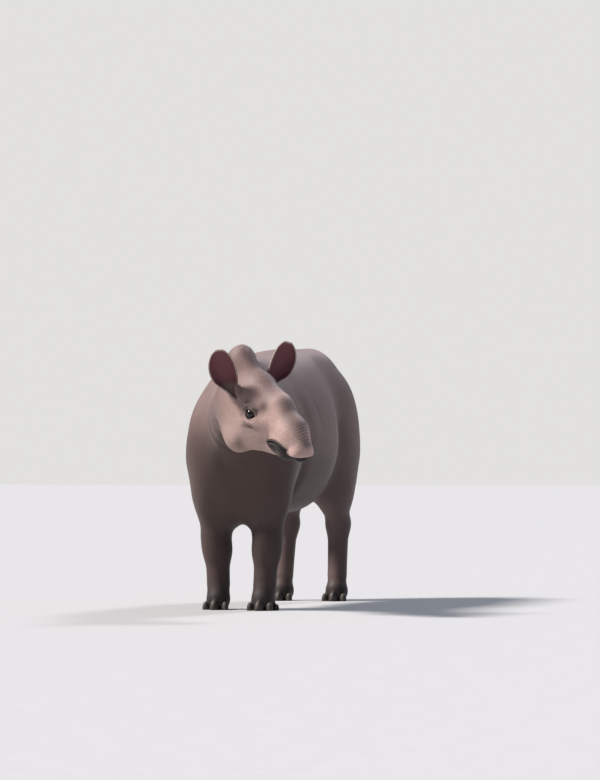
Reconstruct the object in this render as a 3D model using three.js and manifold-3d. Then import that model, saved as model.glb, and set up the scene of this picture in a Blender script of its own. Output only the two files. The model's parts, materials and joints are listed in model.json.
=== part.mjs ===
// South American (lowland) tapir, standing, life size, in millimetres.
//
// The animal faces -Y, its left side is +X and +Z is up. The body is one smooth field of blended
// rods and balls. The field is meshed on a grid for each region and parted by planes into head, neck,
// torso and legs. Ears, tail, eyes, lids, hooves and the locks of the mane are built from their own
// sizes and set on that body. Parts that touch keep GAP between them.
import * as THREE from "three";
import { mergeVertices } from "three/addons/utils/BufferGeometryUtils.js";
import Module from "manifold-3d";

const wasm = await Module();
wasm.setup();
const { Manifold } = wasm;

const GAP = 0.3;

// Grid steps of the meshed regions, along x, y and z
const TORSO_STEP = [44, 66, 44];
const NECK_STEP = [29, 35, 31];
const HEAD_STEP = [16.4, 19.8, 15.8];
const LEG_STEP = [19.5, 19.5, 37];

// Fields: a field gives the distance from a point to a surface, negative inside

const clamp01 = (t) => Math.min(1, Math.max(0, t));

// An ellipsoid with centre c and radii r
function ball(c, r) {
  return (x, y, z) => {
    const px = (x - c[0]) / r[0];
    const py = (y - c[1]) / r[1];
    const pz = (z - c[2]) / r[2];
    const near = Math.hypot(px, py, pz);
    const steep = Math.hypot(px / r[0], py / r[1], pz / r[2]);
    return steep > 0 ? (near * (near - 1)) / steep : -Math.min(...r);
  };
}

// A rod from a to b whose radius runs from ra to rb, and that is `flat` times as wide in x
function rod(a, b, ra, rb, flat = 1) {
  const d = [(b[0] - a[0]) / flat, b[1] - a[1], b[2] - a[2]];
  const length2 = d[0] ** 2 + d[1] ** 2 + d[2] ** 2;
  return (x, y, z) => {
    const px = (x - a[0]) / flat;
    const py = y - a[1];
    const pz = z - a[2];
    const t = clamp01((px * d[0] + py * d[1] + pz * d[2]) / length2);
    const away = Math.hypot(px - t * d[0], py - t * d[1], pz - t * d[2]);
    return (away - ra - t * (rb - ra)) * Math.min(1, flat);
  };
}

// Two distances joined with a fillet of about k
function soften(d, e, k) {
  const h = Math.max(k - Math.abs(d - e), 0) / k;
  return Math.min(d, e) - (h * h * k) / 4;
}

// A first field and then others, each joined with its own fillet
function blend(first, ...rest) {
  return (x, y, z) => rest.reduce((d, [k, f]) => soften(d, f(x, y, z), k), first(x, y, z));
}

// A field with others hollowed out of it, each with its own fillet
function hollow(field, ...cuts) {
  return (x, y, z) => cuts.reduce((d, [k, f]) => -soften(-d, f(x, y, z), k), field(x, y, z));
}

// A field that is given for the left side and holds for both
const mirrored = (f) => (x, y, z) => f(Math.abs(x), y, z);

// Trunk: sections from chest to rump, closed by a rounded cap at each end

const FORE_Y = -410; // the forefeet
const HIND_Y = 410; // the hind feet

// Each station: y, half width, height of the widest level, top, bottom, and its exponent above that level
const TRUNK = [
  [-400, 188, 608, 896, 322, 1.7],
  [-180, 214, 606, 926, 322, 1.75],
  [30, 220, 606, 943, 331, 1.8],
  [160, 192, 606, 948, 338, 1.85],
  [280, 154, 618, 951, 352, 1.9],
  [400, 158, 645, 957, 388, 1.98],
];
const CHEST_CAP = 172;
const RUMP_CAP = 240;
const ROUND_BELOW = 1.85; // the exponent below the widest level

// A smooth run through the stations: their values at y, level at both ends
function along(stations, y) {
  const last = stations.length - 1;
  if (y <= stations[0][0]) return stations[0].slice(1);
  if (y >= stations[last][0]) return stations[last].slice(1);
  let i = 0;
  while (y > stations[i + 1][0]) i++;
  const [a, b] = [stations[i], stations[i + 1]];
  const span = b[0] - a[0];
  const t = (y - a[0]) / span;
  const slope = (j, k) =>
    j === 0 || j === last
      ? 0
      : (span * (stations[j + 1][k] - stations[j - 1][k])) / (stations[j + 1][0] - stations[j - 1][0]);
  return [1, 2, 3, 4, 5].map((k) => {
    const [p, q, m, n] = [a[k], b[k], slope(i, k), slope(i + 1, k)];
    return p + t * (m + t * (3 * (q - p) - 2 * m - n + t * (2 * (p - q) + m + n)));
  });
}

function loft(stations, frontCap, backCap) {
  const [first, last] = [stations[0][0], stations[stations.length - 1][0]];
  return (x, y, z) => {
    const [wide, level, top, bottom, round] = along(stations, y);
    const above = z > level;
    const high = above ? top - level : level - bottom;
    const deep = y < first ? frontCap : backCap;
    const power = above ? round : ROUND_BELOW;
    const px = Math.abs(x) / wide;
    const pz = Math.abs(z - level) / high;
    const py = (y - Math.max(first, Math.min(last, y))) / deep;
    const section = (px ** power + pz ** power) ** (1 / power);
    const near = Math.hypot(section, py);
    const steep = Math.hypot(px / wide, pz / high, py / deep);
    return steep > 1e-6 ? (near * (near - 1)) / steep : -wide;
  };
}

const trunk = mirrored(
  blend(
    loft(TRUNK, CHEST_CAP, RUMP_CAP),
    [60, ball([96, -395, 560], [86, 140, 190])], // shoulder
    [60, ball([92, 440, 600], [86, 118, 235])], // thigh
  ),
);

// Legs, each with its own small step forward or back

function foreleg(side, step) {
  const foot = FORE_Y + step;
  return blend(
    rod([side * 110, -392, 520], [side * 102, -400, 390], 84, 64, 0.88), // upper arm
    [30, ball([side * 52, -395, 340], [34, 60, 50])], // fold of the armpit
    [50, rod([side * 104, -400, 390], [side * 100, foot + 12, 245], 70, 52, 0.95)], // forearm
    [30, rod([side * 99, foot + 10, 250], [side * 95, foot + 12, 205], 51, 48, 0.98)], // knee
    [30, rod([side * 95, foot + 12, 205], [side * 90, foot + 8, 95], 46, 42, 1.02)], // cannon
    [26, ball([side * 87, foot - 2, 38], [43, 47, 48])], // foot
  );
}

function hindleg(side, step) {
  const foot = HIND_Y + step;
  return blend(
    rod([side * 97, 400, 540], [side * 99, 402, 420], 104, 76, 0.7), // thigh
    [60, rod([side * 99, 398, 420], [side * 97, foot + 38, 300], 67, 47, 0.84)], // shank
    [30, ball([side * 98, foot + 44, 292], [37, 48, 50])], // hock
    [30, rod([side * 99, foot + 38, 285], [side * 103, foot + 10, 100], 43, 39, 0.98)], // cannon
    [26, ball([side * 104, foot, 38], [43, 47, 48])], // foot
  );
}

const LEGS = [
  { name: "foreleg_left", field: foreleg, hip: "fore", side: 1, step: -8 },
  { name: "foreleg_right", field: foreleg, hip: "fore", side: -1, step: 10 },
  { name: "hindleg_left", field: hindleg, hip: "hind", side: 1, step: 6 },
  { name: "hindleg_right", field: hindleg, hip: "hind", side: -1, step: -14 },
];

// Head, in its own frame: x to its left, y back from the nose, z up, from midway between the eyes

const HEAD_AT = [234, -822, 694];
const HEAD_TURN = 59; // degrees to the left of the body
const HEAD_NOD = 21.5; // degrees down
const HEAD_TILT = -6.5; // degrees, which sets the left ear higher
const SNOUT_FALL = [-0.208, -0.978]; // the way the cut end of the snout faces, along y and z
const SNOUT_END = 121; // how far it lies that way
const SNOUT_BACK = -172; // the cut ends at this y

const rad = THREE.MathUtils.degToRad;
const headFrame = new THREE.Matrix4()
  .makeTranslation(...HEAD_AT)
  .multiply(new THREE.Matrix4().makeRotationZ(rad(HEAD_TURN)))
  .multiply(new THREE.Matrix4().makeRotationX(rad(HEAD_NOD)))
  .multiply(new THREE.Matrix4().makeRotationY(rad(HEAD_TILT)));
const toHead = headFrame.clone().invert().elements;

// A point of the head's frame, in the body's
const fromHead = (x, y, z) => new THREE.Vector3(x, y, z).applyMatrix4(headFrame).toArray();

const snoutCut = (x, y, z) =>
  Math.max(SNOUT_END - SNOUT_FALL[0] * y - SNOUT_FALL[1] * z, y - SNOUT_BACK);

const headShape = mirrored(
  blend(
    hollow(
      blend(
        ball([0, 72, 0], [82, 120, 102]), // skull
        [40, rod([0, 176, 116], [0, 70, 72], 54, 42, 0.72)], // crest
        [50, rod([0, 40, 56], [0, -58, 44], 46, 40, 0.94)], // forehead
        [44, rod([0, -64, 38], [0, -150, -10], 40, 41, 1)], // nose
        [40, rod([0, -20, -14], [0, -138, -34], 72, 50, 0.88)], // muzzle
        [30, rod([0, -150, -8], [0, -203, -56], 42, 39, 1.02)], // proboscis
        [16, rod([-16, -207, -72], [16, -207, -72], 28, 28)], // its squared tip
        [34, ball([46, 24, -20], [38, 86, 42])], // cheekbone
        [40, ball([46, 80, -90], [48, 72, 80])], // jaw muscle
        [36, rod([0, 66, -100], [0, -124, -92], 52, 25, 0.98)], // lower jaw
        [14, ball([0, -136, -97], [34, 34, 24])], // lower lip
        [20, ball([26, -126, -56], [25, 50, 22])], // upper lip
        [14, ball([66, 4, 26], [19, 32, 10])], // brow
      ),
      [20, ball([106, 0, 2], [26, 26, 21])], // orbit
      [22, ball([90, -46, 26], [20, 24, 20])], // hollow before the eye
      [16, ball([98, -14, -44], [22, 24, 9])], // fold under the eye
      [5, snoutCut],
    ),
    [6, ball([0, -207, -81], [29, 25, 19])], // pad round the nostrils
  ),
);

function head(x, y, z) {
  const e = toHead;
  return headShape(
    e[0] * x + e[4] * y + e[8] * z + e[12],
    e[1] * x + e[5] * y + e[9] * z + e[13],
    e[2] * x + e[6] * y + e[10] * z + e[14],
  );
}

// Neck

const neck = blend(
  rod([0, -410, 610], fromHead(0, 150, -16), 166, 106, 0.84), // throat and sides
  [60, rod([0, -330, 830], fromHead(0, 176, 108), 62, 54, 0.8)], // crest
);

const body = blend(
  trunk,
  ...LEGS.map((leg) => [60, leg.field(leg.side, leg.step)]),
  [60, neck],
  [40, head],
);

// Meshing: one vertex in each grid cell that the surface crosses, then pulled onto the surface

const CORNERS = [0, 1, 2, 3, 4, 5, 6, 7].map((n) => [n & 1, (n >> 1) & 1, n >> 2]);
const CELL_EDGES = CORNERS.flatMap((a, i) =>
  [1, 2, 4].filter((bit) => !(i & bit)).map((bit) => [i, i | bit]),
);
const AXES = [
  [1, 0, 0],
  [0, 1, 0],
  [0, 0, 1],
];

// The mean of a cell's edge crossings, in cell units, or null where the surface misses the cell
function crossing(corner) {
  const sum = [0, 0, 0];
  let count = 0;
  for (const [i, j] of CELL_EDGES) {
    if (corner[i] < 0 === corner[j] < 0) continue;
    const t = corner[i] / (corner[i] - corner[j]);
    for (let q = 0; q < 3; q++) sum[q] += CORNERS[i][q] + t * (CORNERS[j][q] - CORNERS[i][q]);
    count++;
  }
  return count ? sum.map((v) => v / count) : null;
}

// The way in which a field grows at a point, with its rate as length
function growth(field, x, y, z) {
  const h = 0.5;
  const d = field(x, y, z);
  return [(field(x + h, y, z) - d) / h, (field(x, y + h, z) - d) / h, (field(x, y, z + h) - d) / h];
}

// A point pulled onto the surface of a field, by at most `reach` at a time
function pulled(field, p, reach) {
  let [x, y, z] = p;
  for (let pass = 0; pass < 3; pass++) {
    const d = field(x, y, z);
    const g = growth(field, x, y, z);
    const k = Math.max(-reach, Math.min(reach, d)) / Math.max(0.25, g[0] ** 2 + g[1] ** 2 + g[2] ** 2);
    x -= g[0] * k;
    y -= g[1] * k;
    z -= g[2] * k;
  }
  return [x, y, z];
}

// The solid inside a field and a box from lo to hi. The box and its grid stand in `frame`.
function meshed(inside, lo, hi, step, frame = new THREE.Matrix4()) {
  const e = frame.elements;
  const mid = lo.map((v, i) => (v + hi[i]) / 2);
  const half = lo.map((v, i) => (hi[i] - v) / 2);
  const field = (x, y, z) =>
    Math.max(
      inside(
        e[0] * x + e[4] * y + e[8] * z + e[12],
        e[1] * x + e[5] * y + e[9] * z + e[13],
        e[2] * x + e[6] * y + e[10] * z + e[14],
      ),
      Math.abs(x - mid[0]) - half[0],
      Math.abs(y - mid[1]) - half[1],
      Math.abs(z - mid[2]) - half[2],
    );
  const from = lo.map((v, i) => v - 1.3 * step[i]);
  const n = lo.map((v, i) => Math.ceil((hi[i] - v) / step[i]) + 4);
  const at = (a, b, c) => a + n[0] * (b + n[1] * c);
  const value = new Float32Array(n[0] * n[1] * n[2]);
  for (let c = 0; c < n[2]; c++)
    for (let b = 0; b < n[1]; b++)
      for (let a = 0; a < n[0]; a++)
        value[at(a, b, c)] = field(...[a, b, c].map((v, i) => from[i] + v * step[i]));
  const vertexOf = new Map();
  const points = [];
  const triangles = [];
  const dist2 = (p, q) => (p[0] - q[0]) ** 2 + (p[1] - q[1]) ** 2 + (p[2] - q[2]) ** 2;
  for (let c = 0; c < n[2] - 1; c++)
    for (let b = 0; b < n[1] - 1; b++)
      for (let a = 0; a < n[0] - 1; a++) {
        const where = crossing(CORNERS.map((o) => value[at(a + o[0], b + o[1], c + o[2])]));
        if (!where) continue;
        vertexOf.set(at(a, b, c), points.length);
        const p = [a, b, c].map((v, i) => from[i] + (v + where[i]) * step[i]);
        points.push(pulled(field, p, 0.3 * Math.min(...step)));
      }
  for (let c = 1; c < n[2] - 1; c++)
    for (let b = 1; b < n[1] - 1; b++)
      for (let a = 1; a < n[0] - 1; a++)
        AXES.forEach((o, q) => {
          const here = value[at(a, b, c)] < 0;
          if (here === value[at(a + o[0], b + o[1], c + o[2])] < 0) return;
          const u = AXES[(q + 1) % 3];
          const w = AXES[(q + 2) % 3];
          const near = (i, j) =>
            vertexOf.get(at(a - i * u[0] - j * w[0], b - i * u[1] - j * w[1], c - i * u[2] - j * w[2]));
          const quad = [near(0, 0), near(1, 0), near(1, 1), near(0, 1)];
          if (!here) quad.reverse();
          const corner = quad.map((v) => points[v]);
          const turn = dist2(corner[0], corner[2]) <= dist2(corner[1], corner[3]) ? 0 : 1;
          const [i, j, k, l] = quad.map((_, v) => quad[(v + turn) % 4]);
          triangles.push(i, j, k, i, k, l);
        });
  const placed = points.map((p) => new THREE.Vector3(...p).applyMatrix4(frame).toArray());
  return solid(placed.flat(), triangles);
}

// Solids

function solid(positions, triangles) {
  const made = new Manifold(
    new wasm.Mesh({
      numProp: 3,
      vertProperties: new Float32Array(positions),
      triVerts: new Uint32Array(triangles),
    }),
  );
  return made.volume() > 0 ? made : solid(positions, [...triangles].reverse());
}

// A closed three.js geometry as a solid
function solidOf(geometry) {
  const bare = new THREE.BufferGeometry().setAttribute("position", geometry.getAttribute("position"));
  if (geometry.index) bare.setIndex(geometry.index);
  const merged = mergeVertices(bare, 1e-3);
  const index = Array.from(merged.index.array);
  const triangles = [];
  for (let i = 0; i < index.length; i += 3) {
    const [a, b, c] = index.slice(i, i + 3);
    if (a !== b && b !== c && c !== a) triangles.push(a, b, c);
  }
  return solid(merged.getAttribute("position").array, triangles);
}

// The largest closed piece of a solid
function largest(s) {
  return s.decompose().sort((a, b) => b.volume() - a.volume())[0];
}

function unit(v) {
  return new THREE.Vector3(...v).normalize().toArray();
}

// What lies past a plane through p, on the side of its normal, beginning `off` beyond it
function past(s, p, normal, off = 0) {
  const n = unit(normal);
  return s.trimByPlane(n, n[0] * p[0] + n[1] * p[1] + n[2] * p[2] + off);
}

const minus = (v) => v.map((x) => -x);

// An ellipsoid of few faces
function egg(c, r, across, along) {
  const g = new THREE.SphereGeometry(1, across, along);
  g.scale(...r);
  g.translate(...c);
  return g;
}

// Hips: a leg is parted from the trunk by a plane that rises outwards, inside a box round the leg

const HIPS = {
  fore: { at: [100, FORE_Y, 392], out: 0.85, back: -0.38, y: [-640, -235] },
  hind: { at: [104, HIND_Y, 402], out: 0.62, back: 0.36, y: [262, 640] },
};
const HIP_X = [5, 300];
const HIP_LOW = -40;

// The box of a leg, its top on the hip's plane, grown by `grow`
function legBox(leg, grow) {
  const hip = HIPS[leg.hip];
  const x = [leg.side * HIP_X[0] - grow * leg.side, leg.side * HIP_X[1]];
  const g = new THREE.BoxGeometry(1, 1, 1);
  const p = g.getAttribute("position");
  for (let i = 0; i < p.count; i++) {
    const px = p.getX(i) * leg.side > 0 ? x[1] : x[0];
    const py = p.getY(i) > 0 ? hip.y[1] + grow : hip.y[0] - grow;
    const rise = hip.out * (Math.abs(px) - hip.at[0]) + hip.back * (py - hip.at[1]);
    p.setXYZ(i, px, py, p.getZ(i) > 0 ? hip.at[2] + rise + grow : HIP_LOW);
  }
  return solidOf(g);
}

// Hooves: each a blunt cap on a toe, flat on the floor. The toes of a foot, from the outside in.

const FORE_TOES = [
  { at: [43, 4], turn: 62, size: [12, 17, 24] },
  { at: [31, -28], turn: 28, size: [14, 24, 33] },
  { at: [0, -42], turn: 0, size: [18, 27, 36] },
  { at: [-31, -28], turn: -28, size: [14, 24, 33] },
];
const HIND_TOES = [
  { at: [31, -26], turn: 28, size: [14, 24, 33] },
  { at: [0, -40], turn: 0, size: [18, 27, 36] },
  { at: [-31, -26], turn: -28, size: [14, 24, 33] },
];
const CUTICLE = [0, -0.86, -0.5]; // the way a hoof faces, forward and down
const FOOT_X = { fore: 86, hind: 104 };
const FOOT_Y = { fore: FORE_Y, hind: HIND_Y };

function toeFrame(leg, toe) {
  const turned = new THREE.Matrix4().makeRotationZ(rad(toe.turn * leg.side));
  return new THREE.Matrix4()
    .makeTranslation(
      leg.side * (FOOT_X[leg.hip] + toe.at[0]),
      FOOT_Y[leg.hip] + leg.step + toe.at[1],
      0,
    )
    .multiply(turned);
}

function hoof(leg, toe, grow) {
  const g = egg([0, 0, 4], toe.size.map((v) => v + grow), 11, 7);
  g.applyMatrix4(toeFrame(leg, toe));
  const middle = new THREE.Vector3(0, -2, 10).applyMatrix4(toeFrame(leg, toe)).toArray();
  const facing = new THREE.Vector3(...CUTICLE).transformDirection(toeFrame(leg, toe)).toArray();
  return past(past(solidOf(g), middle, facing, -grow), [0, 0, 0], [0, 0, 1]);
}

// The toe behind a hoof
function toePad(leg, toe) {
  const [w, l, h] = toe.size;
  const g = egg([0, 9, 6], [w * 1.02, l * 1.05, h * 1.02], 10, 7);
  return solidOf(g.applyMatrix4(toeFrame(leg, toe)));
}

// Ears: a leaf whose section is nearly a tube at the root and opens into an oval cup

const EAR_LENGTH = 158;
const EAR_WIDTH = 90;
const EAR_DEPTH = 34;
const EAR_WALL = 7;
const EAR_SINK = 34; // how far the root runs into the head
const EAR_BEND = 24; // how far the root is bent in towards the head
const EAR_ROWS = 10;
const EAR_COLUMNS = 10;
// `lean` is outwards and `back` is backwards; `face` turns the cup outwards
const EARS = {
  left: { side: 1, at: [108, 104, 48], lean: 17, back: 9, face: -14 },
  right: { side: -1, at: [110, 104, 44], lean: 15, back: 9, face: 36 },
};

// A point of the left or right ear's leaf: s runs from root to tip and t from edge to edge
function earLeaf(side, s, t) {
  const open = 0.5 - 0.5 * Math.cos(Math.PI * clamp01(s / 0.45));
  const arc = rad(150 - 72 * open);
  const oval = Math.sqrt(Math.max(0, 1 - (Math.max(0, s - 0.52) / 0.48) ** 2));
  const half = (EAR_WIDTH / 2) * (0.4 + 0.6 * Math.sin((Math.PI / 2) * clamp01(s / 0.52))) * oval;
  const deep = EAR_DEPTH * (1 - 0.75 * clamp01(s) ** 3) * (0.35 + 0.65 * oval);
  return [
    (half * Math.sin(t * arc)) / Math.sin(Math.min(arc, Math.PI / 2)) - side * EAR_BEND * (1 - s) ** 3,
    (deep * (Math.cos(t * arc) - Math.cos(arc))) / (1 - Math.cos(arc)) - 0.4 * deep,
    EAR_LENGTH * s,
  ];
}

function earGeometry(side) {
  const rows = EAR_ROWS + 1;
  const columns = EAR_COLUMNS + 1;
  const positions = [];
  const h = 1e-3;
  const first = -EAR_SINK / EAR_LENGTH;
  for (const face of [1, -1])
    for (let i = 0; i < rows; i++)
      for (let j = 0; j < columns; j++) {
        const s = first + (0.985 - first) * Math.sin((Math.PI / 2) * (i / EAR_ROWS));
        const t = -1 + (2 * j) / EAR_COLUMNS;
        const p = new THREE.Vector3(...earLeaf(side, s, t));
        const along = new THREE.Vector3(...earLeaf(side, s + h, t)).sub(p);
        const across = new THREE.Vector3(...earLeaf(side, s, t + h)).sub(p);
        const out = across.cross(along).normalize();
        const wall = EAR_WALL * (1 - 0.55 * Math.abs(t) ** 3) * (1 - 0.4 * clamp01(s));
        positions.push(...p.addScaledVector(out, -face * wall * 0.5).toArray());
      }
  const index = [];
  const at = (face, i, j) => face * rows * columns + i * columns + j;
  const quad = (a, b, c, d) => index.push(a, b, c, a, c, d);
  for (let i = 0; i < EAR_ROWS; i++)
    for (let j = 0; j < EAR_COLUMNS; j++) {
      quad(at(0, i, j), at(0, i, j + 1), at(0, i + 1, j + 1), at(0, i + 1, j));
      quad(at(1, i, j), at(1, i + 1, j), at(1, i + 1, j + 1), at(1, i, j + 1));
    }
  for (let i = 0; i < EAR_ROWS; i++) {
    quad(at(0, i, 0), at(0, i + 1, 0), at(1, i + 1, 0), at(1, i, 0));
    quad(at(0, i, EAR_COLUMNS), at(1, i, EAR_COLUMNS), at(1, i + 1, EAR_COLUMNS), at(0, i + 1, EAR_COLUMNS));
  }
  for (let j = 0; j < EAR_COLUMNS; j++) {
    quad(at(0, 0, j), at(1, 0, j), at(1, 0, j + 1), at(0, 0, j + 1));
    quad(at(0, EAR_ROWS, j), at(0, EAR_ROWS, j + 1), at(1, EAR_ROWS, j + 1), at(1, EAR_ROWS, j));
  }
  const g = new THREE.BufferGeometry();
  g.setAttribute("position", new THREE.Float32BufferAttribute(positions, 3));
  g.setIndex(index);
  return g;
}

const EAR_CUT = 18; // how far up the ear it is parted from the head
const EAR_ROOT = { from: [56, -38], to: [15, 8], radius: 18 }; // ends, inward and up from the ear's foot

// The ear's frame: z up the ear, its cup facing -y
function earFrame(name) {
  const ear = EARS[name];
  const side = ear.side;
  return headFrame
    .clone()
    .multiply(new THREE.Matrix4().makeTranslation(side * ear.at[0], ear.at[1], ear.at[2]))
    .multiply(new THREE.Matrix4().makeRotationX(rad(-ear.back)))
    .multiply(new THREE.Matrix4().makeRotationY(rad(side * ear.lean)))
    .multiply(new THREE.Matrix4().makeRotationZ(rad(side * ear.face)));
}

function wholeEar(name) {
  const frame = earFrame(name);
  const side = EARS[name].side;
  const leaf = solidOf(earGeometry(side).applyMatrix4(frame));
  const [inner, outer] = [EAR_ROOT.from, EAR_ROOT.to].map((p) => new THREE.Vector3(-side * p[0], 4, p[1]));
  const way = outer.clone().sub(inner);
  const root = new THREE.CapsuleGeometry(EAR_ROOT.radius, way.length(), 4, 14);
  const upright = new THREE.Vector3(0, 1, 0);
  root.applyQuaternion(new THREE.Quaternion().setFromUnitVectors(upright, way.normalize()));
  root.translate(...inner.add(outer).multiplyScalar(0.5).toArray());
  return leaf.add(solidOf(root.applyMatrix4(frame)));
}

// The two sides of an ear's cut: what stays on the head and what is the ear
function partedEar(name) {
  const frame = earFrame(name);
  const at = new THREE.Vector3(0, 0, EAR_CUT).applyMatrix4(frame).toArray();
  const up = new THREE.Vector3(0, 0, 1).transformDirection(frame).toArray();
  const whole = wholeEar(name);
  return { root: past(whole, at, minus(up), GAP), free: largest(past(whole, at, up)) };
}

// Eyes and lids, in the head's frame

const EYE_RADIUS = 18;
const EYE_AT = [70, 0, 2];
const LID_RADIUS = 5.5;
const LID_REACH = 1.08; // of the eye's radius

function eyeball(side, radius) {
  const g = new THREE.SphereGeometry(radius, 12, 8);
  g.translate(side * EYE_AT[0], EYE_AT[1], EYE_AT[2]);
  return solidOf(g.applyMatrix4(headFrame));
}

// A lid is a bent rod over the eye, from its inner corner to its outer one
function lid(side, rise) {
  const path = [];
  const steps = 8;
  const reach = EYE_RADIUS * LID_REACH;
  for (let i = 0; i <= steps; i++) {
    const a = Math.PI * (i / steps);
    const up = rise * Math.sin(a) * reach;
    const along = -Math.cos(a) * reach;
    const out = Math.sqrt(Math.max(0, reach ** 2 - up ** 2 - (along * 0.9) ** 2));
    path.push(new THREE.Vector3(side * (EYE_AT[0] + out), EYE_AT[1] + along, EYE_AT[2] + up));
  }
  const section = new THREE.Shape().absarc(0, 0, LID_RADIUS, 0, 2 * Math.PI);
  const g = new THREE.ExtrudeGeometry(section, {
    steps: 7,
    curveSegments: 3,
    bevelEnabled: false,
    extrudePath: new THREE.CatmullRomCurve3(path),
  });
  return solidOf(g.applyMatrix4(headFrame));
}

// The mouth is a thin slit through the muzzle, and each nostril a slanted hollow in its pad

const MOUTH_LINE = [
  [-73, -76],
  [-96, -66],
  [-122, -61],
  [-150, -66],
  [-174, -79],
];
const MOUTH_GAPE = 4;

function mouth() {
  const line = new THREE.SplineCurve(MOUTH_LINE.map((p) => new THREE.Vector2(...p))).getPoints(10);
  const shape = new THREE.Shape();
  line.forEach((p, i) => {
    const half = MOUTH_GAPE * Math.min(1, i / 3) * 0.5 + 0.2;
    if (i) shape.lineTo(p.x, p.y + half);
    else shape.moveTo(p.x, p.y + half);
  });
  [...line].reverse().forEach((p, i) => {
    const half = MOUTH_GAPE * Math.min(1, (line.length - 1 - i) / 3) * 0.5 + 0.2;
    shape.lineTo(p.x, p.y - half);
  });
  const g = new THREE.ExtrudeGeometry(shape, { depth: 160, bevelEnabled: false });
  g.translate(0, 0, -80);
  // The shape was drawn in the head's y and z
  g.applyMatrix4(new THREE.Matrix4().set(0, 0, 1, 0, 1, 0, 0, 0, 0, 1, 0, 0, 0, 0, 0, 1));
  return solidOf(g.applyMatrix4(headFrame));
}

const NOSTRIL_AT = [14, -221, -93];
const NOSTRIL_SIZE = [5.5, 9, 8];

function nostril(side) {
  const g = egg([0, 0, 0], NOSTRIL_SIZE, 12, 8);
  g.rotateZ(rad(side * 18));
  g.translate(side * NOSTRIL_AT[0], NOSTRIL_AT[1], NOSTRIL_AT[2]);
  return solidOf(g.applyMatrix4(headFrame));
}

// Mane: short, flat, tapered locks along the crest of head and neck

// A lock's length along the skin, its width and thickness, how deep it is sunk, and, as shares of its
// length, how high it bends and how high its tip lies
const LOCK = { length: 32, width: 32, thick: 9, sink: 9, bend: 0.55, tip: 0.24 };
const LOCK_CUTS = [
  { along: 0, wide: 0.95, thick: 1.2 },
  { along: 0.45, wide: 1, thick: 1 },
  { along: 0.78, wide: 0.62, thick: 0.7 },
  { along: 1, wide: 0.16, thick: 0.3 },
];

function randomFrom(seed) {
  let state = seed;
  return () => {
    state = (state * 1664525 + 1013904223) % 4294967296;
    return state / 4294967296;
  };
}

// A lock rooted at p that rises along `up` and bends over to `tip`, turned about `up` by `twist`
function lock(p, up, tip, size, twist) {
  const root = p.clone().addScaledVector(up, -LOCK.sink);
  const bend = p.clone().addScaledVector(up, LOCK.bend * LOCK.length * size);
  const path = new THREE.QuadraticBezierCurve3(root, bend, tip);
  const lie = tip.clone().sub(p);
  lie.addScaledVector(up, -lie.dot(up)).normalize();
  const across = new THREE.Vector3().crossVectors(up, lie);
  const side = lie.multiplyScalar(Math.cos(twist)).addScaledVector(across, Math.sin(twist));
  const deep = new THREE.Vector3().crossVectors(side, up);
  const positions = [];
  for (const cut of LOCK_CUTS) {
    const centre = path.getPoint(cut.along);
    const w = (LOCK.width / 2) * cut.wide * size;
    const t = (LOCK.thick / 2) * cut.thick;
    for (const [i, j] of [[1, 0], [0, 1], [-1, 0], [0, -1]])
      positions.push(...centre.clone().addScaledVector(side, i * w).addScaledVector(deep, j * t).toArray());
  }
  const index = [0, 2, 1, 0, 3, 2];
  for (let i = 0; i < LOCK_CUTS.length - 1; i++)
    for (let j = 0; j < 4; j++) {
      const k = (j + 1) % 4;
      const a = i * 4;
      index.push(a + j, a + k, a + 4 + k, a + j, a + 4 + k, a + 4 + j);
    }
  const top = (LOCK_CUTS.length - 1) * 4;
  index.push(top, top + 1, top + 2, top, top + 2, top + 3);
  return solid(positions, index);
}

const DOWN = new THREE.Vector3(0, 0, -1);

// The first point of the body met from `from` along `way`
function landed(from, way) {
  const p = from.clone();
  for (let i = 0; i < 80; i++) {
    const d = body(p.x, p.y, p.z);
    if (d < 0.2) break;
    p.addScaledVector(way, 0.8 * d);
  }
  return p;
}

// Locks in rows along a line over the crest, by turns one and two abreast
function locks(line, rows, seed, taper) {
  const random = randomFrom(seed);
  const made = [];
  for (let i = 0; i < rows; i++) {
    const s = (i + 0.5) / rows;
    const over = line.getPoint(s);
    const lie = line.getTangent(s);
    const beside = new THREE.Vector3().crossVectors(lie, new THREE.Vector3(0, 0, 1)).normalize();
    for (const across of i % 2 ? [-1, 1] : [0]) {
      const from = over.clone().addScaledVector(beside, across * 13 + 3 * (random() - 0.5));
      const at = landed(from, DOWN);
      const up = new THREE.Vector3(...growth(body, at.x, at.y, at.z)).normalize();
      const size = taper(s) * (0.86 + 0.28 * random()) * (1 - 0.12 * Math.abs(across));
      const tip = landed(from.clone().addScaledVector(lie, LOCK.length * size), DOWN);
      tip.addScaledVector(up, LOCK.tip * LOCK.length * size);
      made.push(lock(at, up, tip, size, 0.7 * (random() - 0.5)));
    }
  }
  return made;
}

const HEAD_CREST = new THREE.CatmullRomCurve3(
  [
    [0, 20, 160],
    [0, 90, 200],
    [0, 140, 222],
  ].map((p) => new THREE.Vector3(...fromHead(...p))),
);
const NECK_CREST = new THREE.CatmullRomCurve3([
  new THREE.Vector3(...fromHead(0, 168, 230)),
  new THREE.Vector3(90, -650, 1000),
  new THREE.Vector3(20, -500, 1000),
  new THREE.Vector3(0, -400, 990),
]);

// Parting planes

const NECK_CUT = { at: [20, -520, 720], way: [0.12, -0.87, 0.47] };
const HEAD_CUT = {
  at: fromHead(0, 150, 0),
  way: new THREE.Vector3(0, -1, 0).transformDirection(headFrame).toArray(),
};

// Tail: a short blunt cone

const TAIL_FROM = [0, 582, 812];
const TAIL_TO = [0, 690, 690];
const TAIL_CUT = { at: [0, 634, 766], way: [0, 0.95, 0.31] }; // a plane that clears the rump

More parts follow.
